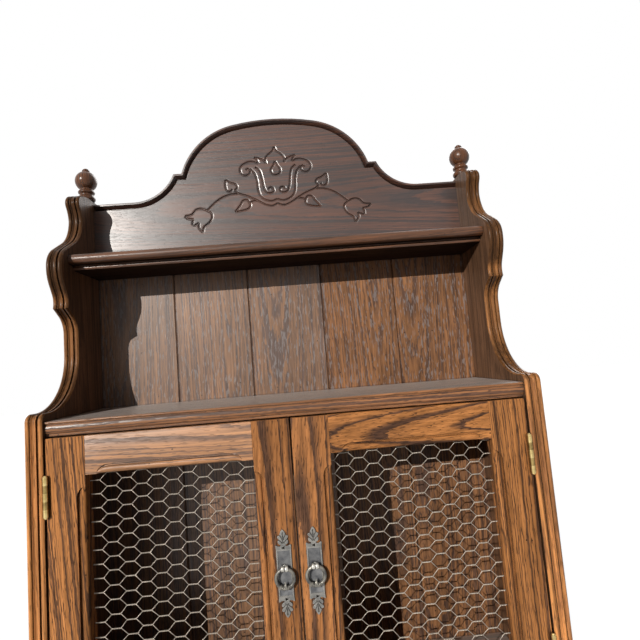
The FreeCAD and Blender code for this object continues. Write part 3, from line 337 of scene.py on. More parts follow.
# Metals: cells of dull patches and hammer marks to the metre, gain of the rubbed edges, dirt in the hollows
PATCH_CELLS, DENT_CELLS = 140, 300
PATCH_LEVELS = ((0.35, 0.0), (0.65, 1.0))
METAL_RUB_GAIN = 3.0
DIRT_REACH, DIRT_COLOUR = 3, (0.012, 0.010, 0.008)
# How the grain changes the roughness, how high it stands, and the strength and depth of the relief
GRAIN_SMOOTH, GRAIN_ROUGH, GRAIN_RISE = 0.08, 0.12, 0.3
METAL_RELIEF = (0.35, 0.3 * MM)
PLASTIC_CELLS, PLASTIC_DUST_CELLS, PLASTIC_DUST = 900, 60, 1.5
PLASTIC_POLISH, PLASTIC_RELIEF = ((0.3, 0.5), (0.7, 0.62)), (0.2, 0.1 * MM)


def metal(name, bright, dull, rough, grain, dents=0.0, dirt=0.0, pure=1.0, rim=1.35, wear=0.8, gloss=0.5):
    """Aged metal: bright where it is rubbed, dull in patches, dirty in its hollows. The grain is its cells to
    the metre, pure how metallic it looks, rim how bright its edges are and wear how far they are rubbed."""
    finish = Finish(name)
    place = finish.place()
    patches = finish.noise(place, EVENLY * PATCH_CELLS, 3.0)
    fine = finish.noise(place, EVENLY * grain)
    colour = finish.blend(finish.ramp(patches, PATCH_LEVELS), dull, bright)
    worn = finish.times(finish.edges(wear * MM), METAL_RUB_GAIN, clamp=True)
    colour = finish.blend(worn, colour, tuple(min(1.0, rim * c) for c in bright))
    if dirt:
        hidden = finish.ramp(finish.open_air(DIRT_REACH * MM), ((0.35, dirt), (0.85, 0.0)))
        colour = finish.blend(hidden, colour, DIRT_COLOUR)
    polish = finish.ramp(fine, ((0.3, rough - GRAIN_SMOOTH), (0.7, rough + GRAIN_ROUGH)))
    finish.surface({"Base Color": colour, "Roughness": polish, "Metallic": pure, "Specular IOR Level": gloss})
    hammered = finish.add("TexVoronoi", {"Vector": place, "Scale": DENT_CELLS}, feature="SMOOTH_F1")
    dented = finish.times(hammered.outputs["Distance"], dents)
    finish.bump(finish.calc("ADD", dented, finish.times(fine, GRAIN_RISE)), *METAL_RELIEF)
    return finish.material


def moulded_plastic(name, colour):
    """Moulded plastic with a fine grain and dust."""
    finish = Finish(name)
    place = finish.place()
    fine = finish.noise(place, EVENLY * PLASTIC_CELLS)
    dust = finish.noise(place, EVENLY * PLASTIC_DUST_CELLS, 3.0)
    dusty = tuple(PLASTIC_DUST * c for c in colour)
    finish.surface({"Base Color": finish.ramp(dust, ((0.3, colour), (0.8, dusty))),
                    "Roughness": finish.ramp(fine, PLASTIC_POLISH)})
    finish.bump(fine, *PLASTIC_RELIEF)
    return finish.material


BRASS = metal("aged_brass", (0.66, 0.52, 0.24), (0.40, 0.29, 0.11), 0.34, 700, dirt=0.9)
DARK_BRASS = metal("tarnished_brass", (0.40, 0.29, 0.11), (0.19, 0.13, 0.05), 0.40, 700, dirt=0.9)
PEWTER = metal("antiqued_pewter", (0.29, 0.28, 0.26), (0.165, 0.163, 0.156), 0.40, 650, dents=1.0, dirt=0.95,
               pure=0.35, rim=1.7, wear=1.2)
FIELD = metal("stippled_pewter", (0.205, 0.208, 0.215), (0.09, 0.093, 0.102), 0.48, 650, dents=1.0, dirt=0.95,
              pure=0.12, gloss=0.25)
POLISHED = metal("polished_pewter", (0.27, 0.255, 0.22), (0.085, 0.082, 0.078), 0.32, 650, dirt=0.95,
                 pure=0.45, rim=1.8, gloss=0.3)
# Eye coils: pewter rubbed bright by the ring, and a painted highlight in its colour
COIL_HIGHLIGHT_PEWTER = metal("pewter_painted_highlight", (0.66, 0.64, 0.58), (0.40, 0.38, 0.34), 0.26, 650, dirt=0.95, pure=0.6)
WIRE = metal("galvanised_wire", (0.42, 0.37, 0.31), (0.24, 0.205, 0.17), 0.42, 500, pure=0.5)
# Pin heads: near-black, a painted shade deep in the piercings
SHADE_BLACK_IRON = metal("iron_painted_shade", (0.06, 0.052, 0.045), (0.02, 0.018, 0.016), 0.5, 600, dirt=0.8)
STEEL = metal("nail_steel", (0.42, 0.41, 0.40), (0.22, 0.20, 0.18), 0.42, 600, dirt=0.8)
PLASTIC = moulded_plastic("catch_plastic", (0.045, 0.028, 0.019))


# Drawing helpers

class Plane:
    """A plane to draw on, with its own two directions."""

    def __init__(self, origin, across, up):
        self.origin = Vector(origin)
        self.across = Vector(across)
        self.up = Vector(up)

    def at(self, u, v):
        return self.origin + self.across * u + self.up * v

    def axis(self):
        return self.across.cross(self.up)


def bend_between(start, stop, bend):
    """Centre and angle of an arc of under a half circle. The bend is its radius, negative to turn right."""
    chord = stop - start
    radius, turn = abs(bend), math.copysign(1, bend)
    left = Vector((-chord.y, chord.x)).normalized()
    reach = math.sqrt(max(radius ** 2 - (chord.length / 2) ** 2, 0.0))
    angle = 2 * math.asin(min(1.0, chord.length / 2 / radius))
    return (start + stop) / 2 + left * (turn * reach), turn * angle


def draw_line(bm, plane, corners, finest=BEND_STEP):
    """Draws a line by moving one vertex on. A corner is two sizes and, unless a straight stretch follows it,
    the radius of the bend that does: negative where the line turns right."""
    tip = bm.verts.new(plane.at(*corners[0][:2]))
    for (u, v, *bend), (next_u, next_v, *_) in zip(corners, corners[1:]):
        if bend:
            centre, angle = bend_between(Vector((u, v)), Vector((next_u, next_v)), *bend)
            steps = max(2, math.ceil(abs(angle) / finest))
            made = bmesh.ops.spin(bm, geom=[tip], cent=plane.at(*centre), axis=plane.axis(), angle=angle,
                                  steps=steps)
            tip = made["geom_last"][0]
        else:
            tip = bmesh.ops.extrude_vert_indiv(bm, verts=[tip])["verts"][0]
            tip.co = plane.at(next_u, next_v)


def draw_face(bm, plane, corners, finest=BEND_STEP):
    """Draws a closed outline and fills it, facing the plane's own way."""
    older = set(bm.edges)
    draw_line(bm, plane, corners + corners[:1], finest)
    edges = [edge for edge in bm.edges if edge not in older]
    verts = list({vert for edge in edges for vert in edge.verts})
    bmesh.ops.remove_doubles(bm, verts=verts, dist=WELD)
    edges = [edge for edge in bm.edges if edge not in older]
    face = bmesh.ops.edgeloop_fill(bm, edges=edges)["faces"][0]
    bm.normal_update()
    if face.normal.dot(plane.axis()) < 0:
        face.normal_flip()
    return face


def raise_profile(bm, face, profile):
    """Grows a face into a moulded block. Each step is an inset from the outline and a height over it."""
    before = Vector((0, 0))
    for step in map(Vector, profile):
        bm.normal_update()
        inset, rise = step - before
        bmesh.ops.inset_region(bm, faces=[face], thickness=inset, depth=rise, use_even_offset=True,
                               use_boundary=True)
        before = step


def close_holes(bm):
    """Fills every open loop of edges."""
    open_edges = [edge for edge in bm.edges if len(edge.link_faces) == 1]
    if open_edges:
        bmesh.ops.edgeloop_fill(bm, edges=open_edges)


def score(bm, point, across, clear=False):
    """Draws edges where a plane meets a mesh, or clears away what lies beyond it."""
    bmesh.ops.bisect_plane(bm, geom=bm.verts[:] + bm.edges[:] + bm.faces[:], plane_co=point, plane_no=across,
                           clear_outer=clear)


def trim(bm, point, outward):
    """Cuts off what lies beyond a plane and closes the cut."""
    score(bm, point, outward, clear=True)
    close_holes(bm)


def push(bm, face, way):
    """Gives a drawn face a length along a way."""
    grown = bmesh.ops.extrude_face_region(bm, geom=[face])["geom"]
    bmesh.ops.translate(bm, verts=[item for item in grown if isinstance(item, bmesh.types.BMVert)], vec=way)


def loft(bm, sections):
    """Skins a run of outlines with the same number of points, closed at both ends."""
    face = bm.faces.new([bm.verts.new(point) for point in sections[0]])
    for index, section in enumerate(sections[1:]):
        grown = bmesh.ops.extrude_face_region(bm, geom=[face])["geom"]
        if index:
            bm.faces.remove(face)
        face = [item for item in grown if isinstance(item, bmesh.types.BMFace)][0]
        for vert, point in zip(face.verts, section):
            vert.co = point


def block(bm, low, high):
    """A box between two corners."""
    low, high = Vector(low), Vector(high)
    made = bmesh.ops.create_cube(bm, size=1.0)["verts"]
    bmesh.ops.scale(bm, verts=made, vec=high - low)
    bmesh.ops.translate(bm, verts=made, vec=(low + high) / 2)
    return made


def soft_box(bm, low, high, edge):
    """A box with rounded edges."""
    edges = list({item for vert in block(bm, low, high) for item in vert.link_edges})
    bmesh.ops.bevel(bm, geom=edges, offset=edge, segments=2, profile=0.5, affect="EDGES", material=-1)


def lathe(bm, plane, corners, steps):
    """Turns a line about the plane's own upright through its origin."""
    older = set(bm.verts)
    draw_line(bm, plane, corners)
    verts = [vert for vert in bm.verts if vert not in older]
    edges = list({edge for vert in verts for edge in vert.link_edges})
    bmesh.ops.spin(bm, geom=verts + edges, cent=plane.origin, axis=plane.up, angle=2 * math.pi, steps=steps,
                   use_merge=True)
    made = [vert for vert in bm.verts if vert not in older]
    bmesh.ops.remove_doubles(bm, verts=made, dist=WELD)


def torus(bm, plane, radius, thick, wide, steps, sides):
    """A closed hoop round the plane's own axis, with a round or oval section."""
    axis = plane.axis()
    turn = Matrix((plane.across, axis, plane.across.cross(axis))).transposed().to_4x4()
    turn.translation = plane.at(radius, 0)
    section = bmesh.ops.create_circle(bm, radius=1.0, segments=sides, cap_ends=False,
                                      matrix=turn @ Matrix.Diagonal((thick, wide, 1.0, 1.0)))["verts"]
    edges = list({edge for vert in section for edge in vert.link_edges})
    bmesh.ops.spin(bm, geom=section + edges, cent=plane.origin, axis=axis, angle=2 * math.pi, steps=steps,
                   use_merge=True)


def to_object(name, bm):
    """A mesh drawn in millimetres as an object in metres."""
    bmesh.ops.remove_doubles(bm, verts=bm.verts[:], dist=2 * WELD)
    bmesh.ops.recalc_face_normals(bm, faces=bm.faces[:])
    bmesh.ops.scale(bm, vec=Vector((MM, MM, MM)), verts=bm.verts[:])
    mesh = bpy.data.meshes.new(name)
    bm.to_mesh(mesh)
    bm.free()
    made = bpy.data.objects.new(name, mesh)
    scene.collection.objects.link(made)
    return made


def evaluated_mesh(made):
    """A new mesh of an object as its curve or its modifiers shape it."""
    return bpy.data.meshes.new_from_object(made.evaluated_get(bpy.context.evaluated_depsgraph_get()))


def solid_curve(name, curve):
    """A curve drawn in millimetres as a closed mesh and an object in metres."""
    drawn = bpy.data.objects.new(f"{name}_line", curve)
    scene.collection.objects.link(drawn)
    bm = bmesh.new()
    bm.from_mesh(evaluated_mesh(drawn))
    bpy.data.objects.remove(drawn)
    return to_object(name, bm)


def cut_out(piece, cutters):
    """Takes other objects out of a piece, one after the other and for good."""
    for cutter in cutters:
        knife = piece.modifiers.new("cut", "BOOLEAN")
        knife.object = cutter
        knife.solver = "MANIFOLD"
        mesh = evaluated_mesh(piece)
        piece.modifiers.clear()
        piece.data = mesh
        bpy.data.objects.remove(cutter)


def dress(piece, body, material, node, sharp=32):
    """Shades a piece, sharp at edges past an angle, gives it its finish and its body, and hides the frame's
    node that it stands for."""
    piece.data.shade_smooth()
    piece.data.set_sharp_from_angle(angle=math.radians(sharp))
    piece.data.materials.clear()
    piece.data.materials.append(material)
    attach(piece, body)
    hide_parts(node)
    return piece


FLAT = 0.98


def refinish(piece, material, ways, behind=-math.inf):
    """Gives the flat faces that look one of the ways, and lie behind a depth, another finish."""
    piece.data.materials.append(material)
    for polygon in piece.data.polygons:
        flat = any(polygon.normal.dot(Vector(way)) > FLAT for way in ways)
        if flat and polygon.center.y > behind * MM:
            polygon.material_index = len(piece.data.materials) - 1


# Side boards with three reeds on the front edge
REED_CENTRE, REED_RADIUS, REED_STEPS = 7.2, 2.75, 11
REED_START, REED_SWEEP = -70, 125
REED_INSET = 1.6
# Half of the middle reed and the hollow beside it: inset and height over the middle of the board
MIDDLE_REED = ((REED_INSET, 0.7), (1.45, 1.3), (1.05, 1.9), (0.5, 2.4), (0.05, 2.7), (0.0, 3.1), (0.5, 3.35),
               (2.2, 3.6), (2.2, 4.4))


def side_corners():
    """Outline of a side board: depth from the front edge and height, with spare length behind and below."""
    rear = WALL - FRONT + SPARE
    return [
        (0, -SPARE), (0, 393.5, -9.6), (10.3, 403.0, 71.5), (88.7, 474.1), (88.7, 502.0, 27.2), (78.3, 524.4),
        (64.0, 534.5, 24.0), (64.0, 551.5), (55.8, 566.5, -48.0), (50.8, 590.0, -30.0), (63.2, 614.3),
        (85.6, 628.5, 49.6), (111.1, 668.4, 37.5), (104.5, 688.0, -12.5), (110.4, 706.2, -72.0),
        (137.0, SIDE_TOP), (rear, SIDE_TOP), (rear, -SPARE),
    ]


def reed_profile():
    """Half of the reeded edge, from the middle of the board to its face: inset and height."""
    reed = []
    for step in range(REED_STEPS + 1):
        turn = math.radians(REED_START + REED_SWEEP * step / REED_STEPS)
        reed.append((REED_RADIUS * (1 - math.cos(turn)), REED_CENTRE + REED_RADIUS * math.sin(turn)))
    return [*MIDDLE_REED, *reed, (REED_INSET, (HALF - INNER) / 2)]


def make_side(side, sign, edge_wood, face_wood):
    bm = bmesh.new()
    face = draw_face(bm, Plane((0, FRONT, 0), TO_WALL, UP), side_corners())
    ring = bmesh.ops.inset_region(bm, faces=[face], thickness=REED_INSET, depth=0.0, use_even_offset=True,
                                  use_boundary=True)["faces"]
    bmesh.ops.delete(bm, geom=ring, context="FACES")
    raise_profile(bm, face, [(inset - REED_INSET, height) for inset, height in reed_profile()])
    bmesh.ops.mirror(bm, geom=bm.verts[:] + bm.edges[:] + bm.faces[:], merge_dist=WELD, axis="X")
    trim(bm, (0, WALL, 0), TO_WALL)
    trim(bm, (0, 0, 0), DOWN)
    bmesh.ops.translate(bm, verts=bm.verts[:], vec=(sign * (INNER + HALF) / 2, 0, 0))
    piece = to_object(f"reeded_side_{side}", bm)
    rabbet = bmesh.new()
    inner, outer = sorted((sign * (INNER - SPARE), sign * BACK_END))
    block(rabbet, (inner, BACK_LOW.y, -SPARE), (outer, WALL + SPARE, BACK_HIGH.z))
    cut_out(piece, [to_object(f"rabbet_{side}", rabbet)])
    dress(piece, "case", edge_wood, f"side_{side}", sharp=28)
    refinish(piece, face_wood, (RIGHT, LEFT, TO_WALL, DOWN))


# Crest board with a moulded rim along its top edge, and the carved tulips and vine
CREST_END = 706.3
CREST_STEP = math.radians(3)
# Right half of the crest's top edge. The hollow runs out straight, so that the rim's corner stays clean
CREST_TOP = ((224.0, CREST_END, -68.9), (164.7, 740.3), (160.8, 748.0), (148.3, 748.0, 109.9),
             (64.0, 822.93, 325.0))
CREST_SIDE = 0.6
RIM, RIM_ROUND, RIM_STEPS = 3.0, 1.0, 5
SLOPE, QUIRK_DEEP, QUIRK_WIDE = 4.6, 6.4, 2.6
FIELD_DRAFT, FIELD_EDGE, FIELD_FLAT, FIELD_STEPS = 0.1, 0.8, 0.6, 3


def crest_corners():
    """Outline of the crest, with spare length at its ends and its foot."""
    end, foot = INNER + SPARE, CREST_LOW.z - SPARE
    right = [(end, CREST_END), *CREST_TOP]
    left = [(-x, z, *bend) for (x, z, *_), (_, _, *bend) in zip(reversed(right[1:]), reversed(right[:-1]))]
    return [(-end, foot), (end, foot), *right, *left, (-end, CREST_END)]


def quarter_round(start, top, size, steps):
    """Points of a rounded edge: insets from a start and heights up to a top."""
    turns = [math.pi / 2 * step / steps for step in range(steps + 1)]
    return [(start + size * (1 - math.cos(turn)), top - size * (1 - math.sin(turn))) for turn in turns]


def crest_profile():
    """The crest's edge from back to face: a rounded rim, a slope into a groove and the field's edge."""
    thick = CREST_HIGH.y - CREST_LOW.y
    foot = RIM + SLOPE
    field = foot + QUIRK_WIDE
    return [
        (0.0, CREST_SIDE * (thick - RIM_ROUND)), *quarter_round(0.0, thick, RIM_ROUND, RIM_STEPS),
        (RIM, thick), (foot, thick - QUIRK_DEEP), (field, thick - QUIRK_DEEP),
        *quarter_round(field + FIELD_DRAFT, thick, FIELD_EDGE, FIELD_STEPS),
        (field + FIELD_EDGE + FIELD_FLAT, thick),
    ]


# Strokes of the carving's right half: points from the middle of the crest, and heights
CARVING = (
    ((0, 782.5), (3.2, 775.5), (11.0, 769.0), (15.2, 762.0), (14.0, 755.3)),
    ((14.6, 756.0), (17.5, 761.0), (23.0, 764.0), (32.5, 766.8)),
    ((32.5, 766.8), (28.6, 762.5), (26.6, 756.8)),
    ((26.6, 756.4), (35.5, 760.2), (46.0, 758.6), (54.3, 752.6), (55.8, 744.6), (50.6, 738.4), (43.0, 739.4),
     (40.0, 745.0), (43.4, 748.6), (47.2, 746.6)),
    ((40.0, 748.5), (33.3, 740.3), (30.2, 728.0), (29.2, 713.5), (26.0, 703.0), (18.6, 696.6), (8.7, 694.0),
     (0, 696.6)),
    ((32.0, 751.0), (25.6, 745.0), (22.4, 732.6), (20.4, 718.2), (16.8, 709.0), (10.6, 706.6), (5.2, 709.6),
     (6.2, 714.8), (11.0, 715.8), (13.2, 712.4)),
    ((0, 689.6), (9.0, 686.2), (20.0, 689.4), (33.0, 697.3), (46.0, 704.3), (59.5, 709.4), (66.5, 714.4)),
    ((60.5, 709.4), (75.5, 708.2), (89.5, 702.8), (102.0, 693.4), (111.0, 685.2)),
    ((66.5, 714.4), (62.2, 719.4), (64.6, 725.0), (71.0, 727.6), (79.4, 733.2)),
    ((79.4, 733.2), (80.3, 724.0), (78.6, 715.8), (73.0, 713.6), (69.8, 717.6)),
    ((32.0, 696.0), (38.0, 695.4), (44.4, 693.4)),
    ((44.4, 693.4), (47.4, 698.0), (54.0, 697.4), (59.0, 690.2), (67.6, 679.8)),
    ((67.6, 679.8), (55.0, 681.6), (46.4, 684.2), (43.4, 688.8), (44.6, 693.6)),
    ((111.0, 685.2), (119.6, 689.0), (128.0, 687.6), (135.0, 680.6), (146.4, 678.6)),
    ((146.4, 678.6), (141.6, 674.4), (132.6, 672.6)),
    ((132.6, 672.6), (134.6, 668.2), (134.8, 662.8)),
    ((134.8, 662.8), (130.0, 663.6), (124.8, 666.2)),
    ((124.8, 666.2), (125.0, 658.4), (119.4, 650.8)),
    ((119.4, 650.8), (117.2, 659.0), (107.2, 667.4), (103.6, 676.0), (105.6, 681.6), (111.0, 685.2)),
    ((0, 758.4), (3.8, 751.0), (7.4, 744.6), (5.6, 738.0), (0, 735.6)),
)
# Half of a stroke's section: reach to the side and depth, flared at the face
FLARE = ((2.9, -0.6), (2.8, 0.0), (1.6, 0.3), (0.25, 1.9))
VEIN_FLARE = ((0.9, -0.4), (0.8, 0.0), (0.1, 0.9))
CURVE_STEPS = 7
# Cells that the carved face is scored into, so that a stroke changes only the faces round it
CELLS_HALF, CELLS_LOW, CELLS_HIGH, CELL, CELL_SHIFT = 232, 625, 791, 15, 0.5


def smooth_line(points):
    """Points of a smooth curve through the given ones."""
    knots = [Vector(point) for point in points]
    knots = [2 * knots[0] - knots[1]] + knots + [2 * knots[-1] - knots[-2]]
    line = []
    for before, start, stop, after in zip(knots, knots[1:], knots[2:], knots[3:]):
        reach = (stop - start).length
        leave = (stop - before).normalized() * reach / 3
        arrive = (after - start).normalized() * reach / 3
        line += interpolate_bezier(start, start + leave, stop - arrive, stop, CURVE_STEPS)[:-1]
    return line + [knots[-2]]


def stroke(name, points, face, flare=FLARE):
    """A cutter for one carving stroke, along a smooth line through points across and up on a face."""
    line = smooth_line(points)
    sections = []
    for before, middle, after in zip(line[:1] + line, line, line[1:] + line[-1:]):
        along = (after - before).normalized()
        side = Vector((along.y, 0, -along.x))
        centre = Vector((middle.x, face, middle.y))
        half = [centre + side * reach + Vector((0, depth, 0)) for reach, depth in flare]
        other = [centre - side * reach + Vector((0, depth, 0)) for reach, depth in reversed(flare)]
        sections.append(half + other)
    bm = bmesh.new()
    loft(bm, sections)
    return to_object(name, bm)


def make_crest(face_wood, rear_wood):
    bm = bmesh.new()
    face = draw_face(bm, Plane((0, WALL, 0), RIGHT, UP), crest_corners(), CREST_STEP)
    raise_profile(bm, face, crest_profile())
    close_holes(bm)
    trim(bm, (INNER, 0, 0), RIGHT)
    trim(bm, (-INNER, 0, 0), LEFT)
    trim(bm, (0, 0, CREST_LOW.z), DOWN)
    for x in range(-CELLS_HALF, CELLS_HALF, CELL):
        score(bm, (x + CELL_SHIFT, 0, 0), RIGHT)
    for z in range(CELLS_LOW, CELLS_HIGH, CELL):
        score(bm, (0, 0, z), UP)
    piece = to_object("carved_crest", bm)
    cut_out(piece, [stroke(f"stroke_{number}_{side}", [(sign * x, z) for x, z in points], CREST_LOW.y)
                    for number, points in enumerate(CARVING) for side, sign in SIDES])
    dress(piece, "case", face_wood, "crest_board", sharp=10)
    refinish(piece, rear_wood, (TO_WALL,))


# Shelf, deck and cupboard floor, let into the sides and moulded along their front edges
LET_IN = 0.4
# Share of the shelf's thickness in its bullnose, and its lip: how far it is set back and its roundings
SHELF_BULL, LIP_BACK = 0.68, 15.0
LIP_START, LIP_BULGE, LIP_FOOT, LIP_ROUND = 1.6, 3.0, 0.6, 0.9
# What a half round's radius has to spare over half of its height
ROUND_SPARE = 0.01


def section_board(name, corners, material, underside_shade, node):
    """A board between the sides, from its section in depth and height. Its downward faces get a near-black
    finish, a painted shade.
    """
    bm = bmesh.new()
    face = draw_face(bm, Plane((-INNER - LET_IN, 0, 0), TO_WALL, UP), corners)
    push(bm, face, (2 * (INNER + LET_IN), 0, 0))
    piece = dress(to_object(name, bm), "case", material, node, sharp=28)
    refinish(piece, underside_shade, (DOWN,))


def half_round(nose, top, thick):
    """The two ends of a nose that is rounded from its top to its foot."""
    middle = nose + thick / 2
    return [(middle, top, thick / 2 + ROUND_SPARE), (middle, top - thick)]


def shelf_corners():
    """Section of the top shelf: a bullnose over a lip that is set back."""
    top, low, nose = SHELF_HIGH.z, SHELF_LOW.z, SHELF_LOW.y
    bull = SHELF_BULL * (top - low)
    lip = nose + LIP_BACK
    return [
        (WALL, top), *half_round(nose, top, bull), (lip, top - bull),
        (lip, top - bull - LIP_START, LIP_BULGE), (lip, low + LIP_FOOT, LIP_ROUND), (lip + SOFT, low),
        (WALL, low),
    ]


def deck_corners(low, high):
    """Section of the deck or the floor: a thin round lip, a groove, a swelling face and a fillet."""
    thick = high.z - low.z
    lip, step, nose, rear, top = thick / 6, thick / 9, low.y, high.y, high.z
    groove, fillet = nose + step, nose + 2 * step
    swell_high, swell_low = top - lip - step / 2, top - 5 * lip + step / 2
    return [
        (rear, top), *half_round(nose, top, lip), (groove, top - lip), (groove, swell_high, thick / 2),
        (groove, swell_low), (fillet, swell_low), (fillet, low.z + SOFT, SOFT), (fillet + SOFT, low.z),
        (rear, low.z),
    ]


# Finials: the line that is turned, up to the tip
FINIAL_LINE = (
    (0, 0), (10.6, 0, 4.6), (10.6, 7.6), (9.8, 8.2, -3.4), (10.0, 11.2), (10.6, 11.6, 3.0), (10.6, 16.4),
    (9.8, 16.9, -2.0), (10.0, 19.9, 15.8), (5.9, 46.6, -1.6), (5.2, 47.6, 1.2), (5.5, 48.9, 5.6),
)


def make_finial(side, material):
    low, high = node_box(f"finial_{side}")
    middle = (low + high) / 2
    bm = bmesh.new()
    plane = Plane((middle.x, middle.y, SIDE_TOP), RIGHT, UP)
    lathe(bm, plane, [*FINIAL_LINE, (0, high.z - SIDE_TOP)], steps=56)
    dress(to_object(f"turned_finial_{side}", bm), "case", material, f"finial_{side}", sharp=40)


# Door frames: stiles and rails with a rounded inner edge that stops short of the corners
DOOR_THICK = 20.0
NET_RABBET, RABBET_LIP = 7.0, 12.0
ARRIS, ARRIS_MIDDLE = 0.45, 0.3
END_EASE, END_RUN = 0.4, 0.5
# The worked edge: its width, its crown under the face, its quirk, and how far the round turns into the quirk
STICKING, CROWN, ROUND_STEPS = 8.4, 0.2, 10
QUIRK, QUIRK_OUT, QUIRK_IN, QUIRK_TURN = 2.8, 1.9, 1.5, 66
STICKING_STOP, STICKING_RUN = 13.0, 13.0
RUN_OUT = (0.0, 0.03, 0.12, 0.3, 0.55, 0.8, 1.0)


def bar_section(width, cut, rabbet, end):
    """Section of a stile or rail, in width from its outer edge and depth from its face. Cut is how far the
    beaded edge is worked, rabbet whether it has the net's rabbet, and end how far its end is eased."""
    bead = ARRIS + (STICKING - ARRIS) * cut
    radius = bead / 2
    nick = ARRIS_MIDDLE * ARRIS
    points = [
        (ARRIS, DOOR_THICK), (0, DOOR_THICK - ARRIS), (0, ARRIS), (nick, nick), (ARRIS, 0),
        (width - bead - QUIRK_OUT * cut, 0), (width - bead - QUIRK_IN * cut, QUIRK * cut),
    ]
    for step in range(ROUND_STEPS + 1):
        turn = math.radians(-QUIRK_TURN * cut + (90 + QUIRK_TURN * cut) * step / ROUND_STEPS)
        depth = CROWN * cut + radius - radius * math.cos(turn)
        points.append((width - radius + radius * math.sin(turn), depth))
    lip = RABBET_LIP if rabbet else DOOR_THICK
    shelf = NET_RABBET if rabbet else 0
    points += [(width, lip), (width - shelf, lip), (width - shelf, DOOR_THICK)]
    return [(across, max(depth, end)) for across, depth in points]


def make_bar(name, body, node, place, width, length, opening, stopped, material):
    """A stile or rail as sections along its length. The opening gives the stretch beside the net, and stopped
    says whether the rabbet ends there."""
    first, last = opening
    stations = [(0, 0, not stopped, END_EASE), (END_RUN, 0, not stopped, 0)]
    if stopped:
        stations += [(first - NET_RABBET, 0, rabbet, 0) for rabbet in (False, True)]
    worked = [(STICKING_STOP + STICKING_RUN * share, math.sqrt(1 - (1 - share) ** 2)) for share in RUN_OUT]
    stations += [(first + along, cut, True, 0) for along, cut in worked]
    stations += [(last - along, cut, True, 0) for along, cut in reversed(worked)]
    if stopped:
        stations += [(last + NET_RABBET, 0, rabbet, 0) for rabbet in (True, False)]
    stations += [(length - END_RUN, 0, not stopped, 0), (length, 0, not stopped, END_EASE)]
    bm = bmesh.new()
    loft(bm, [[place(along, across, depth) for across, depth in bar_section(width, cut, rabbet, end)]
              for along, cut, rabbet, end in stations])
    dress(to_object(name, bm), body, material, node, sharp=30)


def make_door_frame(side, sign, woods):
    stile_low, stile_high = node_box(f"door_{side}_meeting_stile")
    far_low, far_high = node_box(f"door_{side}_hinge_stile")
    face = stile_low.y
    low, high = stile_low.z, stile_high.z
    width = stile_high.x - stile_low.x
    near = min(abs(stile_low.x), abs(stile_high.x))
    far = max(abs(far_low.x), abs(far_high.x))
    start = near + width
    tall, wide = high - low, far - width - start

    def stile_place(edge, inward):
        return lambda along, across, depth: Vector((
            sign * (edge + inward * across), face + depth, low + along))

    def rail_place(edge, inward):
        return lambda along, across, depth: Vector((
            sign * (start + along), face + depth, edge + inward * across))

    bars = (
        ("meeting_stile", stile_place(near, 1), tall, (width, tall - width), True),
        ("hinge_stile", stile_place(far, -1), tall, (width, tall - width), True),
        ("top_rail", rail_place(high, -1), wide, (0, wide), False),
        ("bottom_rail", rail_place(low, 1), wide, (0, wide), False),
    )
    body = f"door_{side}"
    for (word, place, length, opening, stopped), wood in zip(bars, woods):
        make_bar(f"moulded_{side}_{word}", body, f"{body}_{word}", place, width, length, opening, stopped,
                 wood)


# Hexagonal netting of twisted wires
MESH_RISE, MESH_WANDER = 15.9, 0.55
MOST_COLUMNS = 20
TWIST_LONG, TWIST_TURNS, TWIST_STEPS, TWIST_RADIUS = 11.2, 2, 14, 0.46
WIRE_RADIUS = 0.43
# A net's first column and the space between columns, its first row, and what it keeps clear at left and right
NETS = {"left": (-53.0, 17.95, 320.2, 5, 5), "right": (61.4, 17.5, 326.6, 5, 4)}


def make_net(side, material):
    """A net whose wires run across and are twisted in pairs."""
    first_column, pitch, first_row, clear_left, clear_right = NETS[side]
    low, high = node_box(f"wire_net_{side}")
    start, stop = low.x + clear_left, high.x - clear_right
    half_rise = MESH_RISE / 2
    columns = [index for index in range(-MOST_COLUMNS, MOST_COLUMNS + 1)
               if start <= first_column + index * pitch <= stop]
    rows = range(math.ceil((low.z - first_row) / half_rise), math.floor((high.z - first_row) / half_rise))
    middle = (low.y + high.y) / 2
    wander = {}
    for column in columns:
        for level in range(rows.start, rows.stop + 1):
            wander[column, level] = Vector([draws.uniform(-MESH_WANDER, MESH_WANDER) for _ in range(3)])
    curve = bpy.data.curves.new(f"net_line_{side}", "CURVE")
    curve.dimensions = "3D"
    curve.bevel_depth = WIRE_RADIUS
    curve.bevel_resolution = 1
    curve.use_fill_caps = True
    for row in rows:
        points = []
        for column in columns:
            level = row + (row + column) % 2
            centre = Vector((first_column + column * pitch, middle, first_row + level * half_rise))
            centre += wander[column, level]
            phase = 0 if level == row else math.pi
            for step in range(TWIST_STEPS + 1):
                share = step / TWIST_STEPS
                turn = phase + 2 * math.pi * TWIST_TURNS * share
                points.append(centre + Vector(((share - 0.5) * TWIST_LONG, TWIST_RADIUS * math.sin(turn),
                                               TWIST_RADIUS * math.cos(turn))))
        spline = curve.splines.new("POLY")
        spline.points.add(len(points) - 1)
        for knot, point in zip(spline.points, points):
            knot.co = (*point, 1.0)
    piece = solid_curve(f"twisted_net_{side}", curve)
    dress(piece, f"door_{side}", material, f"wire_net_{side}", sharp=80)


# Pulls: a cast plate with a leaf at each end, an eye and a ring
PLATE_EDGE = (
    (8.8, -27.0), (8.8, 27.0), (9.2, 30.4, 1.0), (8.0, 31.0, -5.6), (3.2, 29.9), (2.8, 31.2, 3.6),
    (6.1, 35.2), (5.8, 36.2, -4.0), (4.2, 37.0, 4.0), (6.3, 40.2), (5.8, 41.1), (3.6, 41.8), (3.2, 43.8, 9.0),
    (0, 48.4),
)
PLATE_STEP = math.radians(26)
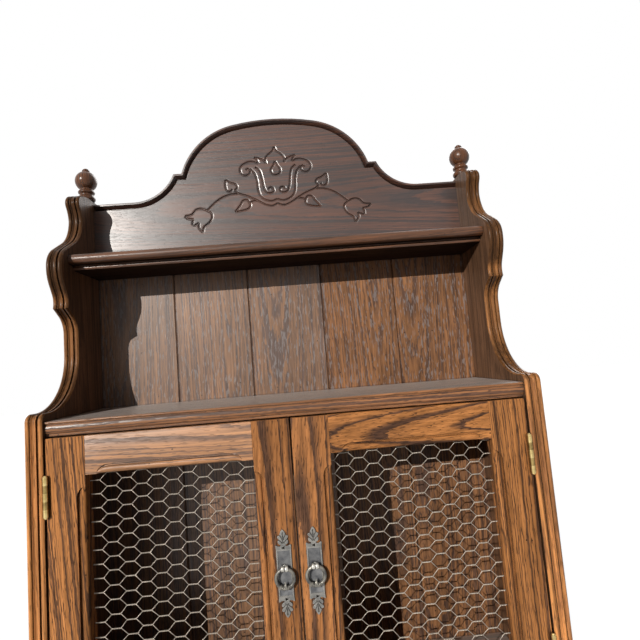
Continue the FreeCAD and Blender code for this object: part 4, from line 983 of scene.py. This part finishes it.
# Eased edge of the plate: inset and share of its thickness
PLATE_PROFILE = ((0, 0.6), (0.12, 0.88), (0.36, 1.0))
VEINS = (((4.6, 37.0), (2.0, 34.6), (0.9, 32.6)), ((3.5, 42.2), (1.6, 39.2), (0.8, 36.4)),
         ((0.0, 33.0), (0.0, 45.4)))
# Piercings: their height from the middle, radius and flatness, and their cutter's length in plate thicknesses
PIERCING_AT, PIERCING, PIERCING_FLAT, PIERCER = 28.0, 3.1, 0.7, 4
# Sunk field: half its width and height, its depth, its soft edge, and how far its cutter stands out in front
FIELD_HALF, FIELD_RISE, FIELD_DEEP, FIELD_SOFT, FIELD_OUT = 7.3, 24.8, 0.8, 0.3, 1
PIN_LINE, PIN_SUNK = ((0, 0), (1.9, 0, 3.2), (0, 0.7)), 0.2
EYE_DEEP, COIL_APART, COIL_RADIUS, COIL_THIN, COIL_WIDE = 3.3, 2.15, 2.78, 0.5, 1.75
# Shank of the eye, over the plate's face
SHANK = 3.0
SHANK_LINE = ((SHANK, 0.3, 0.6), (2.4, 0.9), (1.5, 1.1), (0, 1.1))
RING_RADIUS, RING_WIRE = 10.4, 1.95
# Bands on the ring, in degrees to either side of its foot, and the drop at the foot
BANDS = (9, 20, 31)
BAND_LINE = ((0, -0.8), (RING_WIRE - 0.2, -0.8), (RING_WIRE + 0.4, -0.6, 0.63), (RING_WIRE + 0.4, 0.6),
             (RING_WIRE - 0.2, 0.8), (0, 0.8))
FOOT_LINE, FOOT_FLAT = ((0, 0), (4.6, 0), (4.6, 0.9, -5.8), (0.65, 6.3, 0.7), (0, 6.9)), 0.65


def make_plate(side, low, high):
    """The cast plate, with a sunk field, two piercings and the veins of its leaves."""
    middle = (low + high) / 2
    thick = high.y - low.y
    upper = [corner for corner in PLATE_EDGE if corner[1] > 0]
    lower = [(x, -z, *bend) for (x, z, *_), (_, _, *bend) in zip(reversed(upper[1:]), reversed(upper[:-1]))]
    right = lower + [PLATE_EDGE[0]] + upper[:-1]
    left = [(-x, -z, *bend) for x, z, *bend in right]
    bm = bmesh.new()
    face = draw_face(bm, Plane((middle.x, high.y, middle.z), RIGHT, UP), right + left, PLATE_STEP)
    raise_profile(bm, face, [(inset, share * thick) for inset, share in PLATE_PROFILE])
    close_holes(bm)
    plate = to_object(f"cast_plate_{side}", bm)
    sunk = bmesh.new()
    soft_box(sunk, (middle.x - FIELD_HALF, low.y - FIELD_OUT, middle.z - FIELD_RISE),
             (middle.x + FIELD_HALF, low.y + FIELD_DEEP, middle.z + FIELD_RISE), FIELD_SOFT)
    cutters = [to_object(f"field_{side}", sunk)]
    for end in (-1, 1):
        hole = bmesh.new()
        place = Matrix.Translation(middle + Vector((0, 0, end * PIERCING_AT)))
        turn = Matrix.Rotation(math.radians(90), 4, "X") @ Matrix.Rotation(math.radians(90 * end), 4, "Z")
        bmesh.ops.create_cone(hole, cap_ends=True, segments=3, radius1=PIERCING, radius2=PIERCING,
                              depth=PIERCER * thick,
                              matrix=place @ Matrix.Diagonal((1.0, 1.0, PIERCING_FLAT, 1.0)) @ turn)
        cutters.append(to_object(f"piercing_{side}", hole))
        for vein in VEINS:
            for sign in (-1, 1) if vein[0][0] else (1,):
                line = [(middle.x + sign * x, middle.z + end * z) for x, z in vein]
                cutters.append(stroke(f"vein_{side}", line, low.y, VEIN_FLARE))
    cut_out(plate, cutters)
    dress(plate, f"door_{side}", PEWTER, f"pull_plate_{side}")
    refinish(plate, FIELD, (TO_ROOM,), low.y + FIELD_DEEP / 2)


def make_pins(side, low, high):
    """The heads of the pins in the plate's piercings, near-black as a painted shade in the holes."""
    middle = (low + high) / 2
    bm = bmesh.new()
    for end in (-1, 1):
        plane = Plane((middle.x, high.y - PIN_SUNK, middle.z + end * PIERCING_AT), RIGHT, TO_ROOM)
        lathe(bm, plane, PIN_LINE, steps=16)
    dress(to_object(f"sunk_pins_{side}", bm), f"door_{side}", SHADE_BLACK_IRON, f"pull_pins_{side}")


def make_eye(side, low, high, eye):
    """Two coils round the ring, and a shank into the plate."""
    bm = bmesh.new()
    for sign in (-1, 1):
        plane = Plane((eye.x + sign * COIL_APART, eye.y, eye.z), TO_WALL, UP)
        torus(bm, plane, COIL_RADIUS, COIL_THIN, COIL_WIDE, steps=32, sides=10)
    thick = high.y - low.y
    shank = Plane((eye.x, low.y, eye.z), RIGHT, TO_ROOM)
    lathe(bm, shank, [(0, -thick), (SHANK, -thick), *SHANK_LINE], steps=24)
    dress(to_object(f"coiled_eye_{side}", bm), f"door_{side}", COIL_HIGHLIGHT_PEWTER, f"pull_eye_{side}", sharp=50)


def make_ring(side, eye):
    """The ring, with bands beside the drop at its foot."""
    bm = bmesh.new()
    centre = Vector((eye.x, eye.y, eye.z - RING_RADIUS))
    torus(bm, Plane(centre, RIGHT, UP), RING_RADIUS, RING_WIRE, RING_WIRE, steps=72, sides=18)
    for turn in BANDS:
        for sign in (-1, 1):
            angle = math.radians(sign * turn - 90)
            outward = Vector((math.cos(angle), 0, math.sin(angle)))
            along = Vector((-math.sin(angle), 0, math.cos(angle)))
            lathe(bm, Plane(centre + outward * RING_RADIUS, outward, along), BAND_LINE, steps=18)
    foot = centre - Vector((0, 0, RING_RADIUS))
    banded = set(bm.verts)
    lathe(bm, Plane(foot, RIGHT, UP), FOOT_LINE, steps=20)
    drop = [vert for vert in bm.verts if vert not in banded]
    bmesh.ops.scale(bm, verts=drop, vec=(1.0, FOOT_FLAT, 1.0), space=Matrix.Translation(-foot))
    piece = to_object(f"banded_ring_{side}", bm)
    dress(piece, f"ring_{side}", POLISHED, f"pull_ring_{side}", sharp=50)


def make_pull(side):
    low, high = node_box(f"pull_plate_{side}")
    eye_low, eye_high = node_box(f"pull_eye_{side}")
    eye = Vector(((low.x + high.x) / 2, eye_low.y + EYE_DEEP, (eye_low.z + eye_high.z) / 2))
    make_plate(side, low, high)
    make_pins(side, low, high)
    make_eye(side, low, high, eye)
    make_ring(side, eye)


# Back boards with a V along each seam, and the heart of the tree for each. Their lean grows from board to
# board and changes sides. The ring is the width of a year's growth, and early its dark share on the face
SEAM = 1.7
BACK_HEARTS = ((-260, 40, 300), (-90, 60, 300), (-20, 30, 300), (140, 50, 300), (190, 35, 300))
BACK_LEAN, BACK_LEAN_STEP, BACK_LEAN_ASIDE = 1.0, 0.4, 0.6
BACK_RING, BACK_EARLY = 4.0, 0.4
GLOSSY_BOARDS = 3


def make_plank(number, heart):
    """A board of the back, chamfered along both front edges and left plain behind."""
    lean = (BACK_LEAN + BACK_LEAN_STEP * number, BACK_LEAN_ASIDE * (-1) ** number)
    face_kind = GLOSSY_BACK_WOOD if number <= GLOSSY_BOARDS else BACK_WOOD
    face_wood = oak(f"oak_back_{number}", "stile", heart, lean, BACK_RING, face_kind, BACK_EARLY)
    rear_wood = oak(f"oak_rear_{number}", "stile", heart, lean, BACK_RING, REAR_WOOD)
    low, high = node_box(f"back_board_{number}")
    left = low.x
    right = node_box(f"back_board_{number + 1}")[0].x if number < len(BACK_HEARTS) else high.x
    bm = bmesh.new()
    face = draw_face(bm, Plane((0, 0, low.z), RIGHT, TO_WALL), [
        (left + SEAM, low.y), (right - SEAM, low.y), (right, low.y + SEAM), (right, high.y), (left, high.y),
        (left, low.y + SEAM)])
    push(bm, face, (0, 0, high.z - low.z))
    piece = to_object(f"back_plank_{number}", bm)
    dress(piece, "case", face_wood, f"back_board_{number}")
    refinish(piece, rear_wood, (TO_WALL,))


# Strips that hold the nets from behind
STOP_WIDE = 6.4


def make_stops(side, upright_wood, level_wood):
    """Two upright strips and two level ones between them."""
    low, high = node_box(f"net_stops_{side}")
    uprights = bmesh.new()
    for left in (low.x, high.x - STOP_WIDE):
        soft_box(uprights, (left, low.y, low.z), (left + STOP_WIDE, high.y, high.z), SOFT)
    levels = bmesh.new()
    for foot in (low.z, high.z - STOP_WIDE):
        soft_box(levels, (low.x + STOP_WIDE, low.y, foot),
                 (high.x - STOP_WIDE, high.y, foot + STOP_WIDE), SOFT)
    for word, bm, wood in (("uprights", uprights, upright_wood), ("levels", levels, level_wood)):
        dress(to_object(f"net_{word}_{side}", bm), f"door_{side}", wood, f"net_stops_{side}")


# Build the case
SIDE_WOODS = {
    "left": oak("oak_side_left", "side", (-330, 20, 300), (1.5, 1.0), 4.5, SIDE_WOOD),
    "right": oak("oak_side_right", "side", (340, -10, 420), (-1.2, 1.5), 4.5, SIDE_WOOD),
}
oak_reeds = oak("oak_reeds", "side", (330, 10, 360), (1.5, 1.0), 5.0, REED_WOOD, stain_and_shade=REED_STAIN_AND_SHADE)
oak_crest = oak("oak_crest", "rail", (-80, 130, 690), (2.0, 1.0), 4.0, CREST_WOOD, 0.4)
oak_shelf = oak("oak_shelf", "shelf", (60, 10, 560), (1.5, 2.0), 4.0, SHELF_WOOD)
oak_deck = oak("oak_deck", "shelf", (-40, -60, 350), (1.0, -1.5), 4.0, DECK_WOOD)
oak_floor = oak("oak_floor", "shelf", (20, -30, -40), (1.0, 1.5), 4.5, DECK_WOOD)
oak_crest_rear = oak("oak_crest_rear", "rail", (40, 110, 680), (1.0, 1.5), 5.0, REAR_WOOD)
underside_shade_oak = oak("underside_shade_oak", "shelf", (10, 20, 500), (1.5, 2.0), 4.0, UNDERSIDE_SHADE_WOOD)
oak_finial = oak("oak_finial", "side", (280, 40, 740), (3.0, 2.0), 4.0, FINIAL_WOOD)
for side, sign in SIDES:
    make_side(side, sign, oak_reeds, SIDE_WOODS[side])
make_crest(oak_crest, oak_crest_rear)
section_board("moulded_shelf", shelf_corners(), oak_shelf, underside_shade_oak, "top_shelf")
section_board("moulded_deck", deck_corners(DECK_LOW, DECK_HIGH), oak_deck, underside_shade_oak, "deck_board")
section_board("moulded_floor", deck_corners(BOTTOM_LOW, BOTTOM_HIGH), oak_floor, underside_shade_oak,
              "bottom_board")
for side, _ in SIDES:
    make_finial(side, oak_finial)

# Build the doors, each with the woods of its meeting stile, hinge stile, top rail and bottom rail
DOOR_WOODS = {
    "left": (
        oak("oak_left_meeting", "stile", (-60, -40, 180), (4.0, -3.0), 8.0, STILE_WOOD, 0.31),
        oak("oak_left_hinge", "stile", (-300, -30, 220), (2.0, 2.0), 2.8, HINGE_WOOD),
        oak("oak_left_top", "rail", (-160, -50, 380), (2.0, 1.0), 5.0, PAINTED_SHEEN_RAIL_WOOD),
        oak("oak_left_bottom", "rail", (-120, -60, 30), (3.0, -1.5), 6.0, PAINTED_SHEEN_RAIL_WOOD),
    ),
    "right": (
        oak("oak_right_meeting", "stile", (5, -55, 260), (3.5, -4.5), 8.5, STILE_WOOD, 0.4),
        oak("oak_right_hinge", "stile", (320, -20, 200), (1.0, 0.8), 2.6, HINGE_WOOD),
        oak("oak_right_top", "rail", (200, -66, 350), (7.0, -2.5), 8.0, RAIL_WOOD),
        oak("oak_right_bottom", "rail", (110, -60, 60), (3.0, 1.5), 8.0, RAIL_WOOD),
    ),
}
for side, sign in SIDES:
    make_door_frame(side, sign, DOOR_WOODS[side])
for side, _ in SIDES:
    make_pull(side)
for side, _ in SIDES:
    make_net(side, WIRE)

# Build the back and the strips
for number, heart in enumerate(BACK_HEARTS, start=1):
    make_plank(number, heart)
oak_uprights = oak("oak_uprights", "stile", (30, -30, 200), (2.0, 3.0), 5.0, STILE_WOOD)
oak_levels = oak("oak_levels", "rail", (30, -30, 200), (2.0, 3.0), 5.0, STILE_WOOD)
for side, _ in SIDES:
    make_stops(side, oak_uprights, oak_levels)

# Finishes of the nodes that stay as they are
for name, cad_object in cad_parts.items():
    if cad_object.hide_render:
        continue
    if name.endswith("_door_leaf"):
        finish = DARK_BRASS
    elif name.startswith(("hinge_", "case_hinge_", "door_hinge_")):
        finish = BRASS
    elif name.startswith(("strike_", "back_nails")):
        finish = STEEL
    elif name.startswith("catch_"):
        finish = PLASTIC
    else:
        finish = oak_uprights
    cad_object.data.materials[0] = finish

# Floor, light, background and camera
WHITE = (1.0, 1.0, 1.0)
FLOOR_REACH, FLOOR_COLOUR, FLOOR_ROUGH, FLOOR_GLOW = 6000, (0.2, 0.2, 0.197), 0.9, 0.9
SKY_COLOUR, SKY_LIGHT = (0.86, 0.93, 1.0), 0.035
CAMERA_AT = (0.0259, -0.6144, 0.4389)
CAMERA_TURN = (95.166, 4.618, -1.696)
SENSOR, LENS, CLIP = 36.0, 24.975, 0.02

floor_mesh = bmesh.new()
bmesh.ops.create_grid(floor_mesh, x_segments=1, y_segments=1, size=FLOOR_REACH)
floor = to_object("floor", floor_mesh)
pale_floor = Finish("pale_floor")
glow = pale_floor.times(pale_floor.seen_directly(), FLOOR_GLOW)
pale_floor.surface({"Base Color": opaque(FLOOR_COLOUR), "Roughness": FLOOR_ROUGH,
                    "Emission Color": opaque(WHITE), "Emission Strength": glow})
floor.data.materials.append(pale_floor.material)

world = bpy.data.worlds.new("studio")
world.use_nodes = True
scene.world = world
sky = Nodes(world.node_tree)
soft_light = world.node_tree.nodes["Background"]
sky.feed(soft_light.inputs["Color"], opaque(SKY_COLOUR))
sky.feed(soft_light.inputs["Strength"], SKY_LIGHT)
backdrop = sky.add("Background", {"Color": opaque(WHITE), "Strength": 1.0})
background = sky.add("MixShader", {0: sky.seen_directly(), 1: soft_light.outputs[0], 2: backdrop.outputs[0]})
sky.feed(world.node_tree.nodes["World Output"].inputs["Surface"], background.outputs[0])


def add_sun(name, way, energy, spread, colour):
    """A distant lamp that shines a way, as wide as its spread in degrees."""
    lamp = bpy.data.lights.new(name, "SUN")
    lamp.energy = energy
    lamp.angle = math.radians(spread)
    lamp.color = colour
    made = bpy.data.objects.new(name, lamp)
    made.rotation_euler = Vector(way).to_track_quat("-Z", "Y").to_euler()
    scene.collection.objects.link(made)


# A hard lamp from the front left, and a broad one from behind and above for the back, the top and the right
add_sun("key", (0.60, 1.0, -0.39), 3.45, 0.15, (1.0, 0.965, 0.91))
add_sun("fill", (-0.45, -1.0, -0.75), 1.5, 40, WHITE)

camera_data = bpy.data.cameras.new("camera")
camera_data.sensor_width = SENSOR
camera_data.lens = LENS
camera_data.clip_start = CLIP
camera = bpy.data.objects.new("camera", camera_data)
camera.location = CAMERA_AT
camera.rotation_euler = [math.radians(angle) for angle in CAMERA_TURN]
scene.collection.objects.link(camera)
scene.camera = camera
scene.view_settings.view_transform = "Standard"
